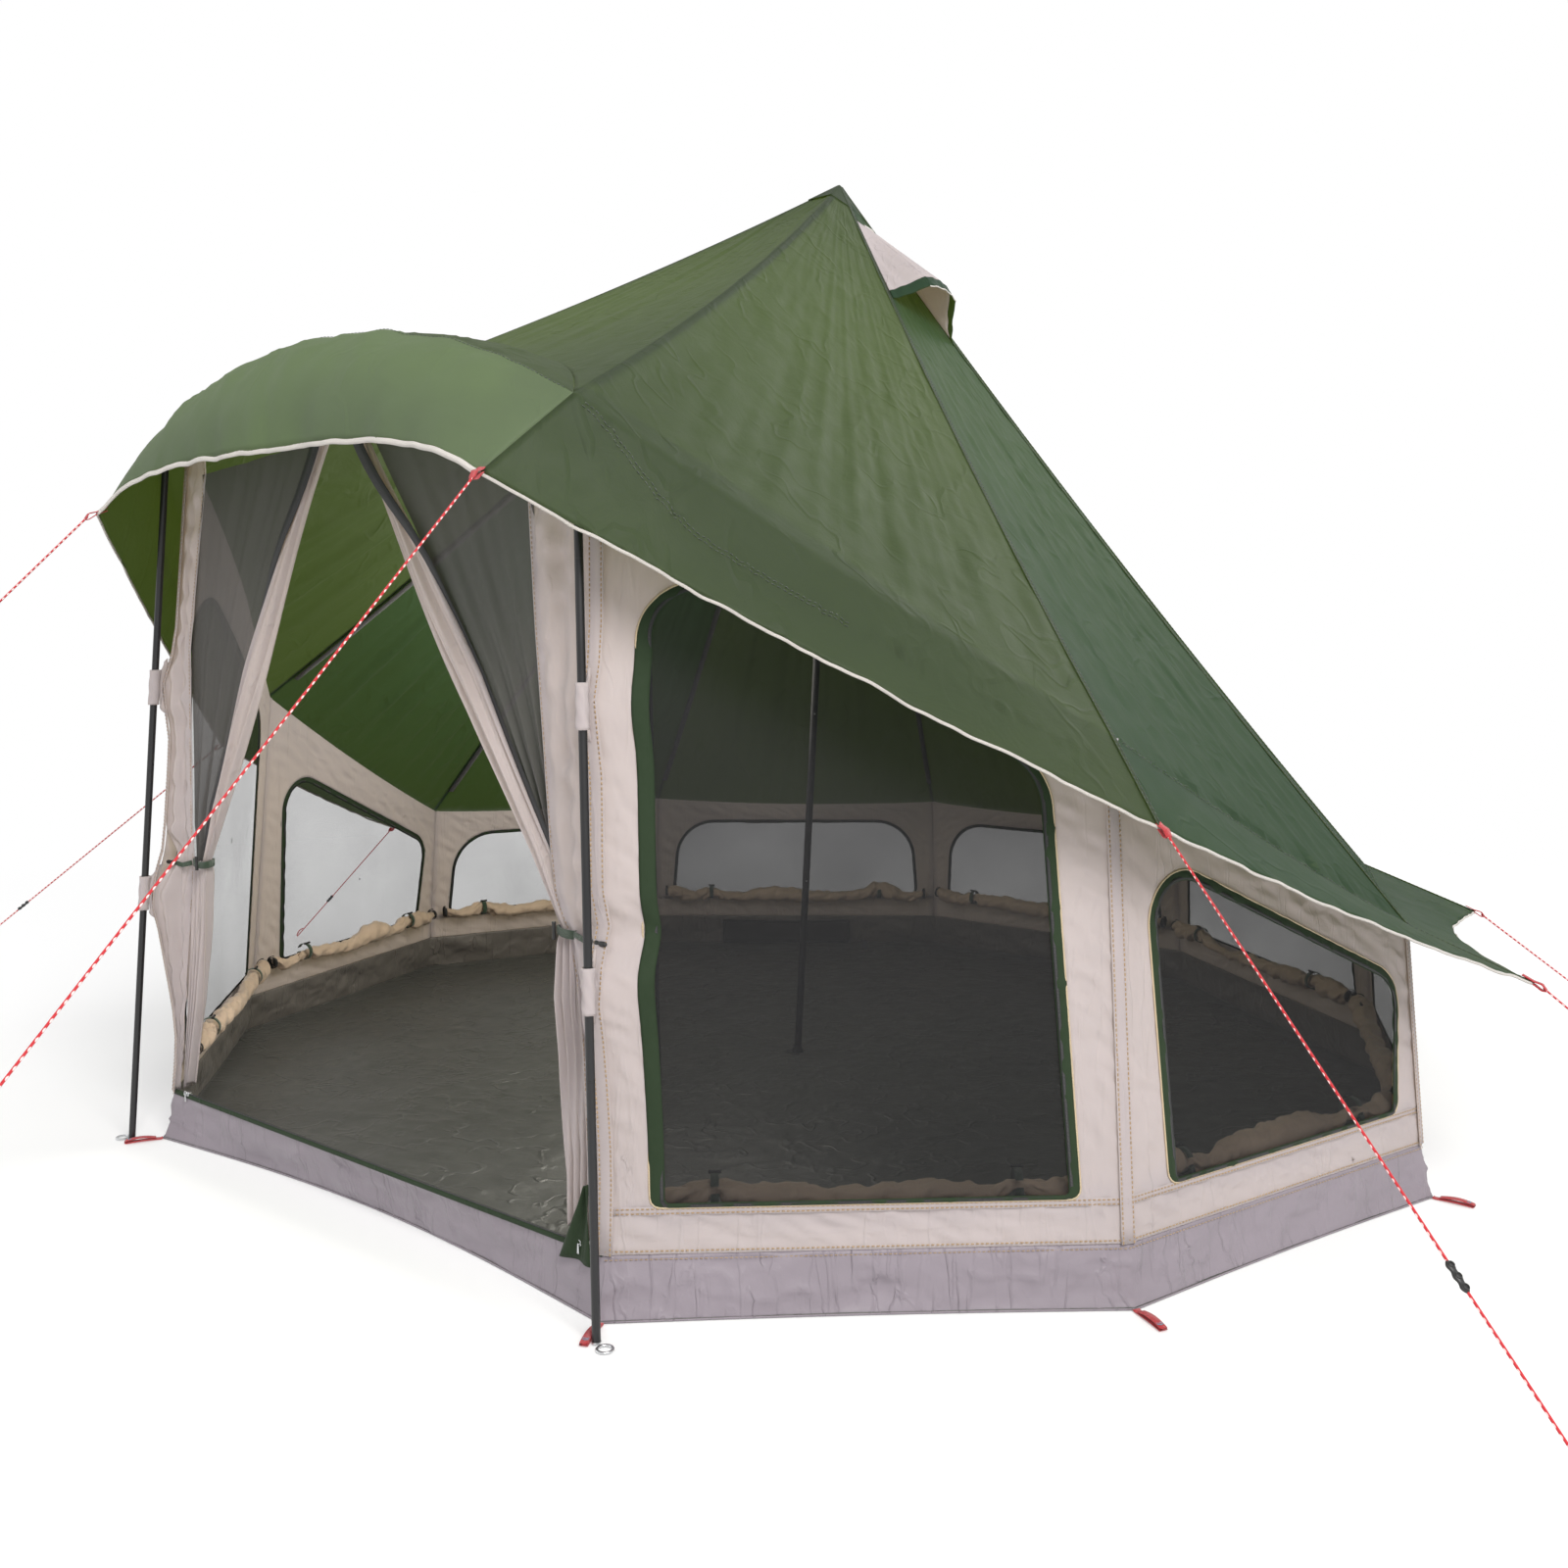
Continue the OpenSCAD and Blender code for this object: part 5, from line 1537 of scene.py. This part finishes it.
def build_pillar(side):
    """Cream cloth between the mesh door and the corner, drawn towards the pole by its straps."""
    name = side_word(side)
    rows, cols = 130, 34
    s = np.linspace(0, 1, cols)
    pull = ripples(31 + side, 0.04, 0.16, 80, 0.4)
    points = np.zeros((rows, cols, 3))
    for r in range(rows):
        t = r / (rows - 1)
        h = lerp(lerp(2.035, WALL_TOP[0] - 0.012, s), TUB_H + 0.004, t)
        inner_x = along_table(PILLAR_EDGE[side], h)
        edge = np.array([pulled_corner(0, k) for k in h])
        inner_y = np.interp(h, [TUB_H, TIE_H - 0.1, TIE_H + 0.15, 1.5], [-1.822, -1.782, -1.786, -1.800])
        x = lerp(inner_x, edge[:, 0], s)
        y = lerp(inner_y, edge[:, 1], smooth(s))
        folds = 0.008 * np.sin(2 * np.pi * (2.4 * s + 0.3 * np.sin(2.5 * t))) * np.sin(np.pi * s)
        relief = 0.0035 * pull(s * 0.3, h) * np.sin(np.pi * s) ** 0.5
        points[r] = np.stack([side * x, y + relief + folds, h], 1)
    if side < 0:
        points = points[:, ::-1]
    sheet(f"door_pillar_{name}", points, "cream", replaces=("door_pillars",))
    edge = points[6:-4, 0 if side > 0 else -1]
    stitches(f"door_pillar_thread_{name}", [(edge + [side * 0.006, -0.0012, 0], np.array([0, -1.0, 0]))])


def build_door_trim():
    y = corner(0, TUB_H)[1]
    half = 0.905
    x = np.linspace(-half, half, 120)
    lip = np.stack([x, np.full(120, y + 0.001), np.full(120, TUB_H + 0.001)], 1)
    sweep("sill_binding", [lip], flat_profile(0.009, 0.012), "green_trim", UP)
    rail = lip + [0, 0.0005, 0.0055]
    rail = rail[np.abs(rail[:, 0]) < 0.862]
    sweep("sill_zip_tape", [rail], flat_profile(0.006, 0.005), "zip", UP,
          replaces=("door_sill_zip",))
    for side in (1, -1):
        name = side_word(side)
        centre = np.array([side * TIE_X[side], LEAF_Y - 0.006, TIE_H])
        turn = np.linspace(0, 2 * np.pi, 60)
        loop = np.stack([centre[0] + 0.036 * np.cos(turn), centre[1] + 0.026 * np.sin(turn),
                         centre[2] + 0.003 * np.sin(2 * turn)], 1)
        sweep(f"tieback_{name}", [loop], flat_profile(0.020, 0.002), "green_web",
              [loop - centre * [1, 1, 0] - UP * loop[:, 2:3]], replaces=("door_tiebacks",))
        low, high = node_box(f"toggle_{name}")
        end = (low + high) / 2
        start = centre + [side * 0.030, -0.020, 0]
        slack = lerp(start, end, 0.5) - UP * 0.008
        sweep(f"tieback_tail_{name}", [resample([start, slack, end], 0.01)], flat_profile(0.014, 0.002),
              "green_web", (0, -1, 0))
        spot = centre + [-side * 0.020, -0.034, 0.004]
        pin = [spot + UP * k * 0.020 for k in (-1, -0.5, 0, 0.5, 1)]
        sweep(f"tieback_pin_{name}", [resample(pin, 0.003)], round_profile(0.0048, 12), "black_plastic",
              (0, -1, 0), scale=pin_shape)
    build_sill_flap()


def build_sill_flap():
    """Small green storm flap at the right foot of the door."""
    rows, cols = 16, 14
    points = []
    for r in range(rows):
        down = r / (rows - 1)
        h = lerp(TUB_H + 0.150, TUB_H - 0.030, down)
        left, right = lerp(0.864, 0.786, down), lerp(0.872, 0.886, down)
        points.append([[lerp(left, right, c / (cols - 1)), corner(0, TUB_H)[1] - 0.012
                        - 0.007 * math.sin(c * 0.55 + 1.5 * down), h] for c in range(cols)])
    sheet("door_foot_flap", points, "green_trim", thickness=0.0015)


# ---- Small fittings that move ----------------------------------------------------------------------


def build_slider(side):
    """Zip slider: a rounded body over the zip with a hanging puller."""
    name = f"zip_slider_{side_word(side)}"
    low, high = node_box(name)
    middle = (low + high) / 2
    size = high - low
    half = size / 2
    path = np.array([middle + [x * half[0], 0, half[2] * 0.55] for x in np.linspace(-1, 1, 16)])
    sweep(f"{name}_body", [path], flat_profile(size[1] * 0.96, size[2] * 0.42), "bright_steel",
          UP, body=name, replaces=(name,),
          scale=lambda t: 0.72 + 0.28 * np.sin(np.pi * t) ** 0.5)
    for sign, word in ((1, "back"), (-1, "front")):
        wing = path * [1, 1, 0] + UP * (low[2] + size[2] * 0.32) + np.array([0, sign * half[1] * 0.80, 0])
        sweep(f"{name}_{word}", [wing], flat_profile(0.0026, size[2] * 0.6), "bright_steel",
              UP, body=name, scale=lambda t: 0.7 + 0.3 * np.sin(np.pi * t) ** 0.5)
    turn = np.linspace(0, 2 * np.pi, 30)
    ring = np.stack([middle[0] + 0.007 * np.cos(turn), np.full(30, low[1] - 0.0005), high[2] - 0.001
                     + 0.005 * np.sin(turn)], 1)
    sweep(f"{name}_ring", [ring], round_profile(0.0011, 8), "bright_steel", (0, -1, 0),
          body=name)
    tab = np.array([[middle[0], low[1] - 0.002, high[2] - 0.004 - k * 0.004] for k in range(7)])
    sweep(f"{name}_puller", [tab], flat_profile(0.007, 0.0018), "bright_steel", (0, -1, 0),
          body=name, scale=lambda t: 0.75 + 0.35 * t)


TOGGLE_OUT = 0.005              # how far the barrel stands in front of its cord loop


def build_toggle(side):
    name = f"toggle_{side_word(side)}"
    low, high = node_box(name)
    middle, half = (low + high) / 2, (high - low) / 2
    path = np.array([middle + [x * half[0], -TOGGLE_OUT, 0] for x in np.linspace(-1, 1, 41)])

    def barrel(t):
        x = 2 * t - 1
        waist = 0.34 * np.exp(-(x / 0.16) ** 2)
        return np.sqrt(np.clip(1.0 - np.abs(x) ** 7, 0.02, 1)) * (1 - waist)

    sweep(f"{name}_barrel", [path], round_profile(half[2], 24), "black_plastic", UP,
          body=name, replaces=(name,), scale=barrel)
    turn = np.linspace(0, 2 * np.pi, 26)
    ring = np.stack([np.full(26, middle[0]), middle[1] + half[1] * 0.80 * np.cos(turn),
                     middle[2] + half[2] * 0.80 * np.sin(turn)], 1)
    sweep(f"{name}_cord", [ring], round_profile(0.0016, 8), "black_tape", (1, 0, 0), body=name)


LINES = {"front": 0, "side": 1, "mid": 2, "rear": 3}


def build_lines():
    """Braided guylines, doubled below their tensioners, the loops they start from, and the tensioners."""
    ropes, doubles, loops, loop_facing = [], [], [], []
    for side, word in ((1, "right"), (-1, "left")):
        for line, k in LINES.items():
            top, foot, direction = line_ends(k, side)
            ropes.append(resample([top, foot], 0.004))
            name = f"tensioner_{line}_{word}"
            low, high = node_box(name)
            middle = (low + high) / 2
            joint = next(j for j in frame["joints"] if j["child"] == name)
            at = np.dot(middle - top, direction)
            sideways = unit(np.cross(direction, UP))
            lift = np.cross(sideways, direction)
            build_tensioner(name, top + direction * at, direction, sideways, lift)
            start = at + joint["range_m"][1] + 0.05
            total = np.linalg.norm(foot - top)
            run = np.linspace(start, total, 60)
            spread = 0.008 * np.sin(np.pi * (run - start) / (total - start)) + 0.0052
            doubles.append(top + run[:, None] * direction + spread[:, None] * lift)
            corner_tip = eave(k if side > 0 else DOOR_WALL - k)
            back = unit(corner_tip - top)
            near_top = lerp(corner_tip, top, 0.9)
            loop = [corner_tip + back * 0.030 - UP * 0.004, corner_tip - UP * 0.003, near_top - UP * 0.008,
                    top + direction * 0.012, near_top + UP * 0.008, corner_tip + UP * 0.004,
                    corner_tip + back * 0.030 + UP * 0.005]
            loops.append(resample(loop, 0.004))
            loop_facing.append(UP)
    sweep("guyline_cords", ropes, round_profile(0.0025, 8), "cord", UP, replaces=("guylines",))
    sweep("guyline_doubles", doubles, round_profile(0.0027, 8), "cord", UP)
    sweep("guy_loop_webbing", loops, flat_profile(0.016, 0.0024), "red_web", loop_facing,
          replaces=("guy_loops",))


ANCHOR_RADIUS = [3.975, 3.590, 3.170, 3.030]
ANCHOR_BEARING = [-76.2, -30.9, 0.3, 31.4]


def line_ends(k, side):
    p = polar(EAVE_RADIUS[k] + 0.022, EAVE_BEARING[k], EAVE_H[k] - 0.010, side)
    q = polar(ANCHOR_RADIUS[k], ANCHOR_BEARING[k], 0.006, side)
    return p, q, unit(q - p)


def build_tensioner(name, middle, direction, sideways, lift):
    """Flat runner with rounded ends and three eyes in raised rims, the cord through its middle."""
    path = np.array([middle + direction * x for x in np.linspace(-0.030, 0.030, 31)])

    def shape(t):
        x = np.abs(2 * t - 1)
        return np.sqrt(np.clip(1 - x ** 6, 0.03, 1)) * (0.86 + 0.14 * np.cos(3 * np.pi * x))

    profile = round_profile(1.0, 16) * [0.0088, 0.0050]
    sweep(f"{name}_runner", [path], profile, "black_plastic", lift, body=name,
          replaces=(name,), scale=shape)
    rims = []
    for x in (-0.020, 0.0, 0.020):
        rims.append(np.array([middle + direction * (x + 0.0048 * math.cos(a))
                              + sideways * 0.0048 * math.sin(a) + lift * 0.0048
                              for a in np.linspace(0, 2 * np.pi, 25)]))
    sweep(f"{name}_eyes", rims, round_profile(0.0012, 8), "black_plastic", lift, body=name)


def build_peg_loops():
    """Red webbing loops at the foot of each corner, folded flat, with a bar tack."""
    loops, tacks = [], []
    for i in range(CORNERS):
        foot = corner(i, 0, FOOT_FLARE + 0.002)
        out = unit(foot * [1, 1, 0])
        reach = 0.105
        n = 24
        x = np.concatenate([np.linspace(0, reach, n), np.linspace(reach, 0.018, n)])
        z = np.concatenate([0.0016 + 0.002 * np.sin(np.linspace(0, np.pi, n)),
                            0.0070 + 0.006 * np.sin(np.linspace(0, np.pi, n))])
        z[0] = 0.004
        z[n - 1] = z[n] = 0.0048
        x[n - 1] = x[n] = reach - 0.001
        path = foot[None] * [1, 1, 0] + x[:, None] * out + z[:, None] * UP
        loops.append(resample(path, 0.004))
        middle = foot * [1, 1, 0] + out * (reach * 0.80) + UP * 0.0115
        side = np.cross(UP, out)
        for shift in (-0.006, 0.0, 0.006):
            tacks.append(np.array([middle + out * shift - side * 0.008, middle + out * (shift + 0.003),
                                   middle + out * shift + side * 0.008]))
    sweep("peg_loop_webbing", loops, flat_profile(0.019, 0.0018), "red_web", UP,
          replaces=("peg_loops",))
    sweep("peg_loop_tacks", tacks, flat_profile(0.0016, 0.0012), "tack", UP)


def build_straps():
    """Cream wraps around the door poles, with the tail of cloth that runs to the wall corner."""
    for side in (1, -1):
        word = side_word(side)
        foot, head = DOOR_FOOT * [side, 1, 1], DOOR_TOP * [side, 1, 1]
        direction = unit(head - foot)
        for number, start in enumerate(STRAP_FROM):
            rows, cols = 14, 26
            points = []
            for r in range(rows):
                centre = foot + direction * (start - 0.010 + 0.100 * r / (rows - 1))
                ring = []
                for c in range(cols):
                    a = 2 * math.pi * c / cols
                    radius = 0.0148 + 0.0008 * math.sin(3 * a + r)
                    ring.append(centre + radius * np.array([math.cos(a), math.sin(a), 0]))
                points.append(ring)
            points = np.array(points)[::-1]
            sheet(f"pole_wrap_{word}_{number}", points, "cream", thickness=0.0016,
                  wrap=True, replaces=("pole_straps",))
            low = foot + direction * (start - 0.008)
            high = foot + direction * (start + 0.088)
            tail = []
            for r in range(9):
                p = lerp(high, low, r / 8)
                wide = pulled_corner(0, p[2], -0.002) * [side, 1, 1]
                wide = wide + UP * (0.035 if r < 4 else -0.035) * abs(r - 4) / 4
                a = p + unit((wide - p) * [1, 1, 0]) * 0.0125
                tail.append([lerp(a, wide, k / 9) + np.array([0, 0.004 * math.sin(k * 0.7 + r), 0])
                             for k in range(10)])
            if side < 0:
                tail = [row[::-1] for row in tail]
            sheet(f"pole_wrap_tail_{word}_{number}", tail, "cream", thickness=0.0014)


def build_pocket():
    low, high = 0.020, 0.125
    rows, cols = 14, 60
    points = []
    for r in range(rows):
        t = r / (rows - 1)
        row = []
        for c in range(cols):
            s = c / (cols - 1)
            sag = 0.006 * math.sin(math.pi * s) * (1 - t)
            out = -0.032 - 0.006 * math.sin(math.pi * t) * math.sin(math.pi * s) + 0.001 * math.sin(19 * s)
            row.append(wall_point(5, [0.420 + 0.600 * s, lerp(high, low, t) - sag], out))
        points.append(row)
    points = np.array(points)
    sheet("pocket_net", points, "pocket_net", thickness=0, replaces=("storage_pocket",))
    rim = np.concatenate([points[0], points[1:, -1], points[-1, ::-1], points[::-1, 0]])
    sweep("pocket_binding", [resample(rim, 0.01)], flat_profile(0.012, 0.002), "black_tape",
          -wall_frame(5)[3])


# ---- Frame pieces that stay ------------------------------------------------------------------------


def finish_frame():
    """Materials of the CAD pieces that are shown as they are."""
    kept = {"black_steel": ["centre_pole_bottom", "centre_pole_middle", "centre_pole_top", "door_pole_right",
                            "door_pole_left", "porch_arch_pole"],
            "bright_steel": ["pole_button_1", "pole_button_2", "pole_button_3", "pole_button_4",
                             "door_pole_rings", "door_pole_pins"],
            "black_plastic": ["pole_foot_cup", "pole_top_cap", "arch_end_sockets", "vent_strut_right",
                              "vent_strut_left"]}
    for material, names in kept.items():
        for name in names:
            mesh = frame["nodes"][name].data
            mesh.materials.clear()
            mesh.materials.append(M[material])


# ---- Stage ----------------------------------------------------------------------------------------


CAMERA_PLACE = (3.115, -3.953, 1.487)
CAMERA_DOWN = 5.87              # degrees below level
CAMERA_TURN = 38.79             # degrees to the left of +Y
LENS = 33.1                     # focal length in mm on a 36 mm sensor
AMBIENT = 0.74                  # light of the studio, where the white backdrop itself is 1


def build_stage():
    scene = bpy.context.scene
    scene.view_settings.view_transform = "Standard"
    world = bpy.data.worlds.new("studio")
    scene.world = world
    world.use_nodes = True
    background = world.node_tree.nodes["Background"]
    background.inputs[0].default_value = (1.0, 1.0, 1.0, 1.0)
    tree = world.node_tree
    seen = tree.nodes.new("ShaderNodeLightPath").outputs["Is Camera Ray"]
    level = tree.nodes.new("ShaderNodeMapRange")
    level.inputs["To Min"].default_value = AMBIENT
    tree.links.new(seen, level.inputs["Value"])
    tree.links.new(level.outputs[0], background.inputs[1])
    scene.cycles.transparent_max_bounces = 24
    size = 60.0
    mesh = bpy.data.meshes.new("studio_floor")
    outline = [(x * size, y * size, -0.001) for x, y in ((-1, -1), (1, -1), (1, 1), (-1, 1))]
    mesh.from_pydata(outline, [], [(0, 1, 2, 3)])
    floor = bpy.data.objects.new("studio_floor", mesh)
    n = Nodes("studio_floor_paint")
    paint = n.principled(color=(0.93, 0.93, 0.93), rough=0.9, specular=0.1)
    glow = n.add("ShaderNodeEmission", {"Color": (1.0, 1.0, 1.0, 1.0), "Strength": 1.0}).outputs[0]
    away = n.add("ShaderNodeVectorMath", {0: n.place}, operation="LENGTH").outputs["Value"]
    n.finish(n.blend(n.remap(away, 3.0, 6.5, 0.25, 1.0), paint, glow))
    mesh.materials.append(n.material)
    scene.collection.objects.link(floor)
    for name, place, power, width, color in (("key", (6.5, -4.5, 7.0), 700, 4.0, (1.0, 0.985, 0.96)),
                                             ("fill", (-7.0, -5.0, 6.0), 120, 6.0, (0.96, 0.98, 1.0)),
                                             ("back", (2.0, 8.0, 8.0), 260, 6.0, (1.0, 1.0, 1.0))):
        data = bpy.data.lights.new(name, "AREA")
        data.energy = power
        data.size = width
        data.color = color
        lamp = bpy.data.objects.new(name, data)
        lamp.location = place
        aim = np.array([0, 0, 1.0]) - np.array(place)
        lamp.rotation_euler = Vector(aim).to_track_quat("-Z", "Y").to_euler()
        scene.collection.objects.link(lamp)
    inside = bpy.data.lights.new("inside", "POINT")
    inside.energy = 90.0
    inside.shadow_soft_size = 0.6
    inside.color = (1.0, 0.95, 0.86)
    lamp = bpy.data.objects.new("inside", inside)
    lamp.location = (-0.3, -0.2, 1.45)
    scene.collection.objects.link(lamp)
    camera_data = bpy.data.cameras.new("camera")
    camera_data.sensor_width = 36.0
    camera_data.lens = LENS
    camera = bpy.data.objects.new("camera", camera_data)
    camera.location = CAMERA_PLACE
    camera.rotation_euler = (math.radians(90 - CAMERA_DOWN), 0.0, math.radians(CAMERA_TURN))
    scene.collection.objects.link(camera)
    scene.camera = camera


# ---- Assembly -------------------------------------------------------------------------------------

finish_frame()
build_floor()
build_tub()
for wall in range(DOOR_WALL):
    build_wall(wall)
    build_window(wall)
    build_flap(wall)
build_wall_seams()
thread = []
for sector in range(DOOR_WALL):
    thread += build_roof_sector(sector)
build_roof_front()
thread += build_canopy()
build_roof_trim(thread)
build_peak_patch()
for sector in (1, 7):
    build_vent(sector)
for side in (1, -1):
    build_leaf(side)
    build_pillar(side)
    build_slider(side)
    build_toggle(side)
build_door_trim()
build_lines()
build_peg_loops()
build_straps()
build_pocket()
build_stage()
